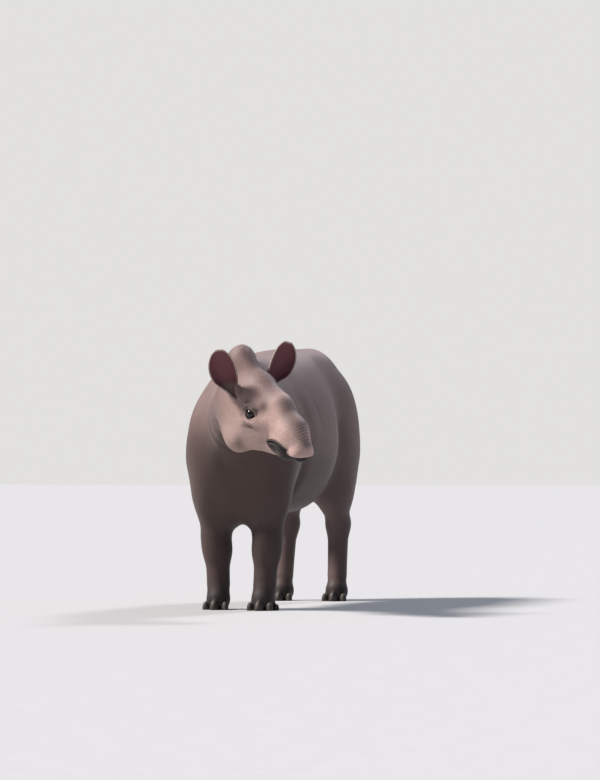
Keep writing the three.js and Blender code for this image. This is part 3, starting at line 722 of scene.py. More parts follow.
def net(field, low, high, step, level_of=lambda centre: np.zeros(centre.shape[1])):
    """Vertices as rows and faces as a list, with the surface's quads turned outwards."""
    low, high = np.array(low, float), np.array(high, float)
    leaves, split = leaf_cells(field, low, high, step, level_of)
    leaf_keys = [key(c) for c in leaves]
    split_keys = [key(c) for c in split]
    first = np.cumsum([0] + [len(k) for k in leaf_keys])
    total = np.zeros((first[-1], 3))
    hits = np.zeros(first[-1])
    quads = []
    for level, cells in enumerate(leaves):
        if not cells.shape[1]:
            continue
        size = step / 2**level
        corner, axis_of = [], []
        for q in range(3):
            u, w = AXES[(q + 1) % 3], AXES[(q + 2) % 3]
            around = np.concatenate(
                [cells + (i * u + j * w)[:, None] for i in (0, 1) for j in (0, 1)], axis=1
            )
            _, once = np.unique(key(around), return_index=True)
            corner.append(around[:, once])
            axis_of.append(np.full(len(once), q))
        corner, axis_of = np.concatenate(corner, axis=1), np.concatenate(axis_of)
        ends = np.concatenate((corner, corner + AXES[axis_of].T), axis=1)
        _, once, back = np.unique(key(ends), return_index=True, return_inverse=True)
        value = field(low[:, None] + ends[:, once] * size)[back]
        here, there = value[: len(axis_of)], value[len(axis_of) :]
        crossing = (here < 0) != (there < 0)
        corner, axis_of = corner[:, crossing], axis_of[crossing]
        here, there = here[crossing], there[crossing]
        u, w = AXES[(axis_of + 1) % 3].T, AXES[(axis_of + 2) % 3].T
        ids = []
        minimal = np.ones(len(axis_of), bool)
        for i, j in ((0, 0), (1, 0), (1, 1), (0, 1)):
            beside = corner - i * u - j * w
            minimal &= lookup(split_keys[level], key(beside)) < 0
            found = np.full(len(axis_of), -1)
            for up in range(level, -1, -1):
                at = lookup(leaf_keys[up], key(beside >> (level - up)))
                found = np.where((found < 0) & (at >= 0), first[up] + at, found)
            ids.append(found)
        ids = np.array(ids)
        minimal &= (ids >= 0).all(0)
        ids, corner, axis_of = ids[:, minimal], corner[:, minimal], axis_of[minimal]
        here, there = here[minimal], there[minimal]
        t = here / (here - there)
        where = (low[:, None] + (corner + AXES[axis_of].T * t) * size).T
        for row in ids:
            for c in range(3):
                total[:, c] += np.bincount(row, where[:, c], len(total))
            hits += np.bincount(row, None, len(total))
        inward = here >= 0
        ids[:, inward] = ids[::-1][:, inward]
        quads.append(ids.T)
    quads = np.concatenate(quads)
    used = hits > 0
    renamed = np.cumsum(used) - 1
    points = total[used] / hits[used][:, None]
    quads = renamed[quads]
    following = np.roll(quads, -1, axis=1)
    same = quads == following
    twins = same.sum(1)
    faces = quads[twins == 0].tolist()
    for quad, doubled in zip(quads[twins == 1], same[twins == 1]):
        faces.append([int(v) for v, drop in zip(quad, doubled) if not drop])
    return points, faces


def gradient(field, p, h=0.4):
    d = field(p)
    return d, np.array([(field(p + h * column(a)) - d) / h for a in AXES])


def pull(field, points, rounds, reach=4.0):
    """Moves points (rows) onto the field's surface and returns them with their outward ways."""
    p = points.T.copy()
    for _ in range(rounds):
        d, g = gradient(field, p)
        p -= g * np.clip(d, -reach, reach) / np.maximum(0.25, (g * g).sum(0))
    return p.T, (g / np.maximum(1e-9, length(g))).T


def edge_pairs(faces):
    pairs = {4: [], 3: []}
    for size in pairs:
        group = np.array([f for f in faces if len(f) == size], int).reshape(-1, size)
        for i in range(size):
            pairs[size].append(np.stack((group[:, i], group[:, (i + 1) % size])))
    both = np.concatenate([np.concatenate(v, axis=1) for v in pairs.values()], axis=1)
    return np.unique(np.sort(both, axis=0), axis=1)


def relax(points, pairs, share):
    """Each point moved towards the mean of its neighbours."""
    a, b = pairs
    count = np.maximum(1, np.bincount(a, None, len(points)) + np.bincount(b, None, len(points)))
    mean = np.stack(
        [
            np.bincount(a, points[b, c], len(points)) + np.bincount(b, points[a, c], len(points))
            for c in range(3)
        ],
        axis=1,
    )
    return points + share * (mean / count[:, None] - points)


def settle(field, points, faces, passes):
    pairs = edge_pairs(faces)
    for _ in range(passes):
        points = relax(points, pairs, 0.5)
        points, ways = pull(field, points, 1)
    points, ways = pull(field, points, 1)
    return points, ways


# The animal's frame in the row frame, found from the packed eyes


def box_middle(node):
    low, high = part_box(node)
    return np.array((low + high) / 2)


SHIFT = (
    (box_middle("eye_left") + box_middle("eye_right")) / 2
    - (HEAD.point(EYE_AT[0], 0, EYE_AT[2]) + HEAD.point(-EYE_AT[0], 0, EYE_AT[2])) / 2 * MM
)
SHIFT[2] = 0


def placed(points):
    """Rows in mm in the animal's frame, as metres in the row frame."""
    return points * MM + SHIFT


def linked(name, data):
    made = bpy.data.objects.new(name, data)
    bpy.context.scene.collection.objects.link(made)
    return made


def smoothed(mesh):
    mesh.polygons.foreach_set("use_smooth", [True] * len(mesh.polygons))


def new_object(name, points, faces):
    mesh = bpy.data.meshes.new(name)
    mesh.from_pydata(placed(np.asarray(points, float)).tolist(), [], [list(map(int, f)) for f in faces])
    mesh.validate()
    smoothed(mesh)
    return linked(name, mesh)


def face_outwards(mesh):
    shape = bmesh.new()
    shape.from_mesh(mesh)
    bmesh.ops.recalc_face_normals(shape, faces=shape.faces)
    shape.to_mesh(mesh)
    shape.free()


def store(mesh, name, kind, values, domain="POINT"):
    """Keeps values in a named attribute of the mesh."""
    slot = {"FLOAT": "value", "FLOAT_VECTOR": "vector", "FLOAT_COLOR": "color", "INT": "value"}
    mesh.attributes.new(name, kind, domain).data.foreach_set(slot[kind], np.asarray(values).ravel())


def linear(colour):
    """An sRGB colour of 0 to 255 as linear values."""
    c = np.array(colour, float) / 255
    return np.where(c <= 0.04045, c / 12.92, ((c + 0.055) / 1.055) ** 2.4)


# Skin mesh: finer cells on the head, finest round the eyes, mouth and the rims of the ears

SKIN_LOW, SKIN_HIGH = (-300, -1010, -14), (470, 740, 1010)


def skin_level(centre):
    q = HEAD.inside(centre)
    level = np.zeros(centre.shape[1])
    level[(centre[2] < 300) & (centre[2] > 0)] = 1
    level[(centre[1] > 570) & (centre[2] > 650) & (np.abs(centre[0]) < 60)] = 1
    on_head = (np.abs(q[0]) < 190) & (q[2] > -215) & (q[2] < 280) & (q[1] > -262)
    level[on_head & (q[1] < 235)] = 1
    level[on_head & (q[1] < 36) & (q[2] > -130)] = 2
    level[(centre[2] < 40) & (centre[2] > 6)] = 2
    for ear in EAR.values():
        away, s, _, _ = ear.nearest(centre)
        level[away < 22] = np.maximum(level[away < 22], 2)
        level[(away < 5) & (s > 0.3)] = 3
    level[eye_distance(q) < 36] = 3
    away, _ = line_distance(MOUTH, q[1], q[2])
    level[on_head & (away < 5) & (q[1] < -64)] = 3
    return level


# Colours and the lie of the coat, kept on the skin's points

SIDES = ("left", "right")
PARTS = ("head", "neck", "chest", "flank", "rump", "foreleg", "hindleg")
PATCHES = [f"{part}_{side}" for part in PARTS for side in SIDES]


def patches(p):
    """The coat piece that each column of p belongs to."""
    x, y, z = p
    ahead = HEAD.inside(p)
    s = along_neck(p)
    patch = np.where(y < -170, 4, np.where(y < 150, 6, 8))
    patch = np.where((z < 345 + 0.35 * np.abs(x)) & (y < 0), 10, patch)
    patch = np.where((z < 400) & (y > 250), 12, patch)
    patch = np.where((s < 0.52 * NECK_LONG) & (y < -380) & (z > 420), 2, patch)
    on_head = (ahead[1] < 128) & (z > 420) & (y < -500)
    patch = np.where(on_head, 0, patch)
    right = np.where(patch <= 1, ahead[0] < 0, np.where(patch <= 3, x < 0.25 * (-380 - y), x < 0))
    return patch + right


class Markings:
    """Colour and coat at the skin's points, from their places in mm and their outward ways."""

    def __init__(self, points, ways, colours):
        p, n = points.T, ways.T
        q = HEAD.inside(p)
        x, y, z = p
        u, side, w = -q[1], np.abs(q[0]), q[2]
        head_share = smoothstep(-185, -70, u) * smoothstep(-205, -172, w) * (z > 420) * (y < -480)
        leg_share = smoothstep(430, 250, z)
        foot_share = smoothstep(110, 40, z)
        eye = eye_distance(q)
        ears = [ear.nearest(p) for ear in EAR.values()]
        in_ear, rim, on_ear = np.zeros((3, len(x)))
        for near, s, t, cup in ears:
            here = (near < 6) & (s > 0.02)
            on_ear = np.where(here, smoothstep(0.02, 0.16, s), on_ear)
            edge = smoothstep(0.93, 0.97, np.abs(t)) * smoothstep(0.2, 0.45, s)
            edge = np.maximum(edge, smoothstep(0.95, 0.975, s))
            rim = np.where(here, edge, rim)
            in_ear = np.where(here & (cup > 0), smoothstep(0.05, 0.2, s) * (1 - edge), in_ear)

        def spot(ahead, up, long, high, inner=-1):
            """A soft spot on both sides of the head, from `inner` mm beside its middle."""
            spread = np.exp(-(((u - ahead) / long) ** 2) - (((w - up) / high) ** 2))
            return spread * head_share * (side > inner)

        behind = smoothstep(150, 350, y)
        front = smoothstep(-230, -440, y) * smoothstep(760, 560, z)
        upward = HEAD.turn[:, 2] @ n
        over_eye = w - EYE_AT[2]
        top, foot = np.interp(u, LIP_AT, LIP_TOP), np.interp(u, LIP_AT, LIP_FOOT)
        lips = smoothstep(foot - 3, foot + 3, w) * smoothstep(top + 3, top - 3, w) * smoothstep(60, 70, u)
        lips = lips * (head_share > 0.5) * smoothstep(182, 174, u)
        over_cut = above_cut(q)
        pad = smoothstep(0.5, -2.0, over_cut) * smoothstep(168, 176, u)
        crest = crest_share(points, n)
        tone = np.tile(colours["flank"], (len(x), 1))
        for name, share in (
            # painted light: coat facing up on the top of the trunk and crown takes the lighter back colour
            ("back", smoothstep(0.35, 0.95, n[2]) * (z > 500)),
            # painted shade: the coat darkens towards the bottom of the trunk and on its downward faces
            ("shaded_belly", smoothstep(680, 430, z + 90 * n[2]) * (0.9 - 0.6 * behind)),
            # painted shade on the chest and under the neck, with a painted shadow on the front of the chest
            ("throat", front * (1 - leg_share)),
            # painted shade in the valleys of the neck's folds
            ("leg", smoothstep(0.6, 2.8, neck_folds(p)) * 0.4),
            ("leg", leg_share * (1 - 0.65 * behind)),
            ("foot", foot_share),
            # the face is paler, with painted shade low on the jaw at the throat, under the eye, before it
            # and on the top of the snout, and a painted shadow of the ear on the temple
            ("face", head_share * smoothstep(0.75, 0.2, n[2])),
            ("cheek", spot(-20, -70, 75, 55) * 0.9),
            ("snout", smoothstep(30, 80, u) * head_share * 0.75),
            # painted shadow low on the jaw under the cheek
            ("leg", spot(-33, -124, 15, 28, 30) * 0.5),
            # painted shade in the fold under the eye
            ("leg", spot(12, 0.12 * u - 44, 26, 9, 40) * 0.9),
            # painted shade in the hollow before the eye
            ("leg", spot(42, 42, 22, 22, 20) * 0.75),
            # painted shadow of the ear on the temple
            ("flank", spot(-40, 66, 50, 36) * smoothstep(16, 34, side) * 0.6),
            # painted shade on the top of the snout
            ("flank", smoothstep(0.28, 0.75, upward) * smoothstep(40, 110, u) * head_share * 0.9),
            # a dark edge on the lids, a paler ring under the eye and painted shade in the crease over it
            ("cheek", bump(eye, 26.5, 3) * smoothstep(4, -8, over_eye) * 0.3),
            ("leg", bump(eye, 28, 6) * smoothstep(-6, 8, over_eye) * 0.7),
            ("lid", smoothstep(24, 21.5, eye)),
            ("lip", lips * 0.95),
            # the snout's cut end: the bare pad below it is dark, partly its own skin and partly painted
            # shade of its downward face, with a painted highlight along its edge
            ("lip", pad),
            ("rim", bump(over_cut, 2.4, 2.2) * smoothstep(178, 188, u) * 0.95),
            # the ears have brown backs, red-brown cups and a pale rim
            ("back", on_ear * 0.8),
            ("cup", in_ear),
            ("rim", rim),
            ("mane", crest * 0.5),
        ):
            tone = tone + (colours[name] - tone) * share[:, None]
        self.tone, self.rim = tone, rim
        self.head_share, self.leg_share = head_share, leg_share

        cut_edge = bump(over_cut, 2.4, 4) * (u > 178) * 0.9
        bare = (smoothstep(26, 22, eye), lips * 0.92, pad, cut_edge, in_ear * 0.93, smoothstep(24, 14, z))
        self.fur = 1 - np.maximum.reduce(bare)
        grow = 1 - 0.52 * head_share
        grow = grow - (grow - 0.33) * smoothstep(60, 150, u) * head_share
        grow = grow * (1 - 0.35 * leg_share) * (1 - 0.35 * foot_share)
        self.grow = np.where(on_ear > 0, 0.42, grow)
        self.mane = smoothstep(0.02, 0.3, crest)
        self.mane_long = (0.3 + 0.7 * crest) * (1 - 0.3 * head_share)

        # the coat lies from nose to tail, down the flanks and legs, and up the ears
        lie = np.stack((0 * x, 1 + 0 * x, -0.35 - 0.25 * smoothstep(-100, 500, y)))
        s = along_neck(p)
        neck_share = smoothstep(0.95 * NECK_LONG, 0.4 * NECK_LONG, s) * (y < -300) * (z > 420)
        down = (0, 0.12, -1)
        for way, share in (
            (down, smoothstep(560, 380, z)),
            (down, smoothstep(560, 640, y)),
            (NECK_WAY + (0, 0, -0.2), neck_share),
            (HEAD.turn @ (0, 1, -0.25), head_share),
            *((ear.place.turn[:, 2], on_ear * (near[0] < 6)) for near, ear in zip(ears, EAR.values())),
        ):
            lie = lie + (column(way) - lie) * share
        lie = lie - n * (lie * n).sum(0)
        self.lie = (lie / np.maximum(1e-6, length(lie))).T


# Edges of the dark lips: their heights at these distances ahead, in the head's frame
LIP_AT = (58, 76, 100, 124, 150, 172)
LIP_TOP = (-78, -64, -51, -47, -50, -62)
LIP_FOOT = (-82, -96, -110, -121, -125, -116)

CREST_LINE = np.concatenate(
    (
        [HEAD.point(*v) for v in ((0, -10, 108), (0, 40, 128), (0, 90, 152), (0, 140, 172))],
        [(90, -650, 960), (20, -500, 955), (0, -400, 935), (0, -330, 925)],
    )
)


def crest_share(points, ways):
    """How far each point lies in the mane's strip, from forehead to withers."""
    best, how_far = line_distance(CREST_LINE[:, :2], points[:, 0], points[:, 1])
    high = smoothstep(0.25, 0.6, ways[2]) * (points[:, 2] > 760)
    ends = smoothstep(0, 0.1, how_far) * smoothstep(1, 0.82, how_far)
    return smoothstep(46, 14, best) * high * ends


def unwrap(points, faces):
    """Each face corner's place on a flat chart, with each part of the body rolled out as a tube."""
    p = points.T
    q = HEAD.inside(p)
    s = along_neck(p)
    charts = [(np.arctan2(q[0], q[2] + 10), (q[1] + 270) / 600)]
    across = np.cross(NECK_WAY, (0, 0, 1))
    across /= np.linalg.norm(across)
    above = np.cross(across, NECK_WAY)
    r = p - NECK_AT[:, None]
    charts.append((np.arctan2(across @ r, above @ r), (s + 200) / 900))
    charts.append((np.arctan2(p[0], p[2] - 620), (p[1] + 640) / 1400))
    for _, _, end, side, step in LEGS:
        cx, cy = FOOT[end]
        charts.append((np.arctan2(p[0] - side * cx, p[1] - cy - step - 15), p[2] / 640))
    for ear in EAR.values():
        e = ear.place.inside(p)
        charts.append((np.arctan2(e[0], e[1] + 8), (e[2] + 50) / 230))
    patch = patches(p)
    chart_of = np.select([patch < 2, patch < 4, patch < 10], [0, 1, 2], patch - 10 + 3)
    for k, ear in enumerate(EAR.values()):
        near, along_ear, _, _ = ear.nearest(p)
        chart_of = np.where((near < 7) & (along_ear > 0), 7 + k, chart_of)
    corners = np.concatenate([np.asarray(f) for f in faces])
    counts = np.array([len(f) for f in faces])
    start = np.concatenate(([0], np.cumsum(counts)[:-1]))
    chart = np.repeat(chart_of[corners[start]], counts)
    turn = np.array([c[0] for c in charts]) / (2 * np.pi)
    run = np.array([c[1] for c in charts])
    u = turn[chart, corners]
    u_first = np.repeat(turn[chart_of[corners[start]], corners[start]], counts)
    u = u_first + (u - u_first - np.round(u - u_first))
    v = run[chart, corners]
    tile = np.stack((chart % 3, chart // 3), axis=1) / 3
    flat = np.stack((0.5 + 0.84 * u, np.clip(v, 0.04, 0.96)), axis=1) / 3
    return tile + flat


# Materials


class Nodes:
    """A node tree: its nodes are added by type, and fed by the name or number of their sockets."""

    def __init__(self, tree):
        self.tree = tree

    def add(self, kind, inputs=None, **settings):
        node = self.tree.nodes.new(kind)
        for name, value in settings.items():
            setattr(node, name, value)
        for name, value in (inputs or {}).items():
            self.feed(node.inputs[name], value)
        return node

    def feed(self, socket, value):
        if isinstance(value, bpy.types.NodeSocket):
            self.tree.links.new(value, socket)
        else:
            socket.default_value = value


class Finish(Nodes):
    """A procedural material."""

    def __init__(self, name):
        self.material = bpy.data.materials.new(name)
        self.material.use_nodes = True
        super().__init__(self.material.node_tree)
        self.surface = self.tree.nodes["Principled BSDF"]

    def set(self, **values):
        for name, value in values.items():
            self.feed(self.surface.inputs[name.replace("_", " ")], value)

    def attribute(self, name, output="Color"):
        return self.add("ShaderNodeAttribute", attribute_name=name).outputs[output]

    def place(self, scale=(1, 1, 1), turn=(0, 0, 0)):
        where = self.add("ShaderNodeTexCoord").outputs["Object"]
        mapping = self.add("ShaderNodeMapping", {"Vector": where, "Scale": scale, "Rotation": turn})
        return mapping.outputs["Vector"]

    def noise(self, scale, where, detail, rough=0.55):
        values = {"Vector": where, "Scale": scale, "Detail": detail, "Roughness": rough}
        return self.add("ShaderNodeTexNoise", values).outputs["Fac"]

    def scaled(self, value, by, plus):
        inputs = {0: value, 1: by, 2: plus}
        return self.add("ShaderNodeMath", inputs, operation="MULTIPLY_ADD").outputs[0]

    def mix(self, share, a, b, blend_type="MIX"):
        inputs = {0: share, 6: a, 7: b}
        return self.add("ShaderNodeMix", inputs, data_type="RGBA", blend_type=blend_type).outputs[2]

    def times(self, tone, shade):
        return self.mix(1, tone, shade, "MULTIPLY")

    def ramp(self, value, stops):
        node = self.add("ShaderNodeValToRGB", {"Fac": value})
        ramp = node.color_ramp
        while len(ramp.elements) < len(stops):
            ramp.elements.new(0.5)
        for element, (at, colour) in zip(ramp.elements, stops):
            element.position = at
            element.color = (*colour, 1) if len(colour) == 3 else colour
        return node.outputs["Color"]

    def grey(self, value, low, high):
        """Value between the greys low and high."""
        return self.ramp(value, [(0.25, (low,) * 3), (0.75, (high,) * 3)])

    def bump(self, height, distance, strength=1.0, under=None):
        values = {"Height": height, "Distance": distance, "Strength": strength}
        if under is not None:
            values["Normal"] = under
        return self.add("ShaderNodeBump", values).outputs["Normal"]


def hair_streaks(finish, scale):
    """Fine streaks along the lie of the coat: along the body, down the legs and along the head."""
    leg = finish.attribute("leg_share", "Fac")
    face = finish.attribute("head_share", "Fac")
    along_body = finish.noise(scale, finish.place((1, 0.16, 0.8), (0.35, 0, 0)), 3)
    down_legs = finish.noise(scale, finish.place((1, 1, 0.16)), 3)
    over_face = finish.noise(scale * 1.5, finish.place((1, 0.2, 1), (-0.37, 0, -1.03)), 3)
    body = finish.mix(leg, along_body, down_legs)
    return finish.mix(face, body, over_face)


def uneven_tone(finish):
    """Broad, soft patches that are a little lighter or darker."""
    broad = finish.grey(finish.noise(6, finish.place(), 3, 0.55), 0.88, 1.1)
    small = finish.grey(finish.noise(34, finish.place((1, 0.7, 1)), 3, 0.55), 0.96, 1.04)
    both = finish.times(broad, small)
    mottled = finish.grey(finish.noise(130, finish.place(), 4, 0.7), 0.8, 1.14)
    face = finish.attribute("head_share", "Fac")
    return finish.mix(face, both, finish.times(both, mottled))


def pelt_normal(finish, share):
    """The hair's own way out, turned by `share` to the skin's, so that the pelt takes the light as one."""
    skin_way = finish.add(
        "ShaderNodeVectorTransform",
        {"Vector": finish.attribute("up", "Vector")},
        vector_type="NORMAL",
        convert_from="OBJECT",
        convert_to="WORLD",
    ).outputs["Vector"]
    hair_way = finish.add("ShaderNodeNewGeometry").outputs["Normal"]
    both = finish.add("ShaderNodeMix", {0: share, 4: hair_way, 5: skin_way}, data_type="VECTOR").outputs[1]
    return finish.add("ShaderNodeVectorMath", {"Vector": both}, operation="NORMALIZE").outputs["Vector"]


def pelt_surface(finish, tone, unevenness):
    """The colour, the dull shine and the faint sheen of hair."""
    finish.set(Base_Color=tone, Roughness=finish.scaled(unevenness, 0.16, 0.52))
    finish.set(Specular_IOR_Level=0.3, Sheen_Weight=0.09, Sheen_Roughness=0.45)
    finish.set(Sheen_Tint=(0.95, 0.85, 0.8, 1))


def hide_finish():
    """Bare skin and the short coat that lies flat on it."""
    finish = Finish("tapir_hide")
    tone = finish.attribute("tone")
    streaks = hair_streaks(finish, 340)
    tone = finish.times(tone, uneven_tone(finish))
    tone = finish.times(tone, finish.grey(streaks, 0.9, 1.09))
    pores = finish.add("ShaderNodeTexVoronoi", {"Vector": finish.place(), "Scale": 420}).outputs["Distance"]
    pelt_surface(finish, tone, streaks)
    normal = finish.bump(streaks, 0.0007, 0.8)
    normal = finish.bump(pores, 0.0003, 0.4, normal)
    finish.set(Normal=normal)
    return finish.material


def coat_finish(name, tips):
    """Short hair: the skin's own colour, darker at the root and with its own shade on each tuft."""
    finish = Finish(name)
    tone = finish.attribute("tone")
    tip = finish.attribute("tip", "Fac")
    shade = finish.attribute("shade", "Fac")
    tone = finish.times(tone, uneven_tone(finish))
    tone = finish.times(tone, finish.ramp(shade, [(0, (0.88,) * 3), (1, (1.12,) * 3)]))
    tone = finish.times(tone, finish.ramp(tip, [(0, (0.92,) * 3), (1, (tips,) * 3)]))
    pelt_surface(finish, tone, shade)
    finish.set(Normal=pelt_normal(finish, 0.8))
    return finish.material


def eye_finish():
    """A dark brown iris round a black pupil, under a wet, clear front."""
    finish = Finish("tapir_eye")
    turn = finish.attribute("off_gaze", "Fac")
    fibres = finish.noise(900, finish.place(), 5, 0.7)
    wavy = finish.scaled(fibres, 0.03, turn)
    iris = finish.ramp(
        wavy,
        [
            (0.0, (0.002, 0.002, 0.003)),
            (0.15, (0.003, 0.003, 0.004)),
            (0.18, (0.022, 0.011, 0.006)),
            (0.24, (0.034, 0.017, 0.009)),
            (0.29, (0.012, 0.007, 0.005)),
            (0.34, (0.008, 0.006, 0.005)),
            (0.5, (0.05, 0.032, 0.026)),
        ],
    )
    finish.set(Base_Color=iris, Roughness=finish.scaled(fibres, 0.04, 0.06))
    finish.set(Specular_IOR_Level=0.3, Coat_Weight=0.3, Coat_Roughness=0.03)
    finish.set(Normal=finish.bump(fibres, 0.00005, 0.25))
    return finish.material


def horn_finish(colour):
    """Dark horn, with growth lines and dusty scuffs."""
    finish = Finish("tapir_hoof")
    grain = finish.noise(220, finish.place((1, 1, 0.2)), 5, 0.65)
    bands = finish.noise(90, finish.place((0.25, 0.25, 2.4)), 3)
    dust = finish.noise(38, finish.place(), 6, 0.65)
    base = tuple(colour[:3])
    pale = tuple(min(1, 1.8 * v + 0.012) for v in base)
    tone = finish.mix(finish.grey(grain, 0.0, 0.5), (*base, 1), (*pale, 1))
    tone = finish.times(tone, finish.grey(bands, 0.75, 1.25))
    tone = finish.mix(finish.grey(dust, 0.0, 0.3), tone, (0.12, 0.095, 0.072, 1))
    finish.set(Base_Color=tone, Roughness=finish.scaled(dust, 0.35, 0.35))
    finish.set(Specular_IOR_Level=0.4)
    finish.set(Normal=finish.bump(grain, 0.0004, 0.6, finish.bump(bands, 0.0006, 0.6)))
    return finish.material


def floor_finish(colour):
    """A pale, matt studio floor."""
    finish = Finish("studio_floor")
    speckle = finish.noise(14, finish.place(), 6, 0.6)
    base = tuple(colour[:3])
    tone = finish.times((*base, 1), finish.grey(speckle, 0.97, 1.02))
    finish.set(Base_Color=tone, Roughness=finish.scaled(speckle, 0.1, 0.75))
    return finish.material


# Tufts: small closed blades, one unit long, rooted at the origin and lying along +Y

BLADE_ROOT, BLADE_THICKNESS = -0.05, 0.15  # how deep a blade is rooted, and how thick it is for its width


def tuft_pattern(name, blades, spread, width, lift, seed, bent=False):
    """A tuft of blades, each rooted within `spread` of the middle and rising by about `lift` radians."""
    rng = np.random.default_rng(seed)
    points, faces, tips = [], [], []
    levels = ((0, 1.0), (0.55, 0.8)) if bent else ((0, 1.0),)
    for _ in range(blades):
        turn = rng.uniform(-0.32, 0.32)
        size = rng.uniform(0.72, 1.0)
        root = rng.uniform(-spread, spread, 2)
        rise = lift * rng.uniform(0.6, 1.3)
        way = np.array((math.sin(turn), math.cos(turn), 0.0))
        across = np.array((math.cos(turn), -math.sin(turn), 0.0))
        up = np.array((0, 0, 1.0))
        base = np.array((*root, BLADE_ROOT))
        at = len(points)
        ring = [across * -0.5, across * 0.5, up * BLADE_THICKNESS]
        for share, wide in levels:
            centre = base + size * (up * math.sin(rise) + way * math.cos(rise) * share) * share
            points += [centre + width * wide * r for r in ring]
            tips += [share] * 3
        fall = 0.95 if bent else 1.0
        points.append(base + size * (up * math.sin(rise) * fall + way * math.cos(rise)))
        tips.append(1.0)
        last = at + 3 * len(levels) - 3
        for k in range(3):
            j = (k + 1) % 3
            if bent:
                faces.append((at + k, at + j, last + j, last + k))
            faces.append((last + k, last + j, last + 3))
        faces.append((at + 2, at + 1, at))
    mesh = bpy.data.meshes.new(name)
    mesh.from_pydata([tuple(v) for v in points], [], faces)
    face_outwards(mesh)
    store(mesh, "tip", "FLOAT", tips)
    spot = np.array(points)
    spot = (spot - spot.min(0)) / np.maximum(1e-6, np.ptp(spot, axis=0)) - 0.5
    spot[:, 2] = 0
    store(mesh, "spot", "FLOAT_VECTOR", spot)
    smoothed(mesh)
    return bpy.data.objects.new(name, mesh)


BAKE_MAP = "OFBake"
TUFT_ON_MAP = 0.003


def tuft_tree():
    """Geometry nodes that root tufts on the skin, and give each its own small patch of the bake map."""
    tree = bpy.data.node_groups.new("tufts_on_skin", "GeometryNodeTree")
    for kind, names in (
        ("Geometry", ("Skin",)),
        ("Object", ("Tuft",)),
        ("Int", ("Patch", "Seed")),
        ("String", ("Where", "Long")),
        ("Float", ("Tufts per m2", "Length", "Stray", "Lie down")),
        ("Material", ("Hair",)),
    ):
        for name in names:
            tree.interface.new_socket(name, in_out="INPUT", socket_type="NodeSocket" + kind)
    tree.interface.new_socket("Coat", in_out="OUTPUT", socket_type="NodeSocketGeometry")
    given = tree.nodes.new("NodeGroupInput").outputs
    end = tree.nodes.new("NodeGroupOutput")

    nodes = Nodes(tree)

    def node(kind, inputs=None, output=0, **settings):
        return nodes.add(kind, inputs, **settings).outputs[output]

    def named(name, kind):
        return node("GeometryNodeInputNamedAttribute", {"Name": name}, "Attribute", data_type=kind)

    def keep(geometry, name, value, kind, domain="POINT"):
        inputs = {"Geometry": geometry, "Name": name, "Value": value}
        return node("GeometryNodeStoreNamedAttribute", inputs, data_type=kind, domain=domain)

    def combined(a, b, operation="MULTIPLY"):
        return node("ShaderNodeMath", {0: a, 1: b}, operation=operation)

    def of_type(sockets, kind):
        return [s for s in sockets if s.type == kind]

    def chance(low, high, offset):
        seed = combined(given["Seed"], float(offset), "ADD")
        made = node("FunctionNodeRandomValue", data_type="FLOAT").node
        for socket, value in zip(of_type(made.inputs, "VALUE"), (low, high)):
            nodes.feed(socket, value)
        nodes.feed(made.inputs["Seed"], seed)
        return of_type(made.outputs, "VALUE")[0]

    def turned_by(rotation, axis, angle):
        by = node("FunctionNodeAxisAngleToRotation", {"Axis": axis, "Angle": angle})
        inputs = {"Rotation": rotation, "Rotate By": by}
        return node("FunctionNodeRotateRotation", inputs, rotation_space="LOCAL")

    chosen = node("FunctionNodeCompare", data_type="INT", operation="EQUAL")
    for socket, value in zip(of_type(chosen.node.inputs, "INT"), (named("patch", "INT"), given["Patch"])):
        nodes.feed(socket, value)
    density = combined(named(given["Where"], "FLOAT"), given["Tufts per m2"])
    inputs = {"Mesh": given["Skin"], "Selection": chosen, "Density": density, "Seed": given["Seed"]}
    roots = node("GeometryNodeDistributePointsOnFaces", inputs, "Points", distribute_method="RANDOM")
    roots = keep(roots, "root_spot", named("chart", "FLOAT_VECTOR"), "FLOAT_VECTOR")
    roots = keep(roots, "shade", chance(0.0, 1.0, 11), "FLOAT")
    up, lie = named("up", "FLOAT_VECTOR"), named("lie", "FLOAT_VECTOR")
    inputs = {"Primary Axis": up, "Secondary Axis": lie}
    facing = node("FunctionNodeAxesToRotation", inputs, primary_axis="Z", secondary_axis="Y")
    backwards = combined(given["Stray"], -1.0)
    swayed = turned_by(facing, (0, 0, 1), chance(backwards, given["Stray"], 23))
    leaning = turned_by(swayed, (1, 0, 0), given["Lie down"])
    long = combined(named(given["Long"], "FLOAT"), given["Length"])
    size = combined(long, chance(0.72, 1.22, 37))
    tuft = node("GeometryNodeObjectInfo", {"Object": given["Tuft"]}, "Geometry")
    inputs = {"Points": roots, "Instance": tuft, "Rotation": leaning, "Scale": size}
    grown = node("GeometryNodeInstanceOnPoints", inputs)
    solid = node("GeometryNodeRealizeInstances", {"Geometry": grown})
    inputs = {0: named("spot", "FLOAT_VECTOR"), "Scale": TUFT_ON_MAP}
    spot = node("ShaderNodeVectorMath", inputs, operation="SCALE")
    inputs = {0: named("root_spot", "FLOAT_VECTOR"), 1: spot}
    on_map = node("ShaderNodeVectorMath", inputs, operation="ADD")
    mapped = keep(solid, BAKE_MAP, on_map, "FLOAT2", "CORNER")
    finished = node("GeometryNodeSetMaterial", {"Geometry": mapped, "Material": given["Hair"]})
    nodes.feed(end.inputs["Coat"], finished)
    return tree


KEPT_ATTRIBUTES = {"position", "material_index", "sharp_face", BAKE_MAP}
KEPT_ATTRIBUTES |= {"tone", "head_share", "tip", "shade", "up"}
COAT_LIMIT = 199000


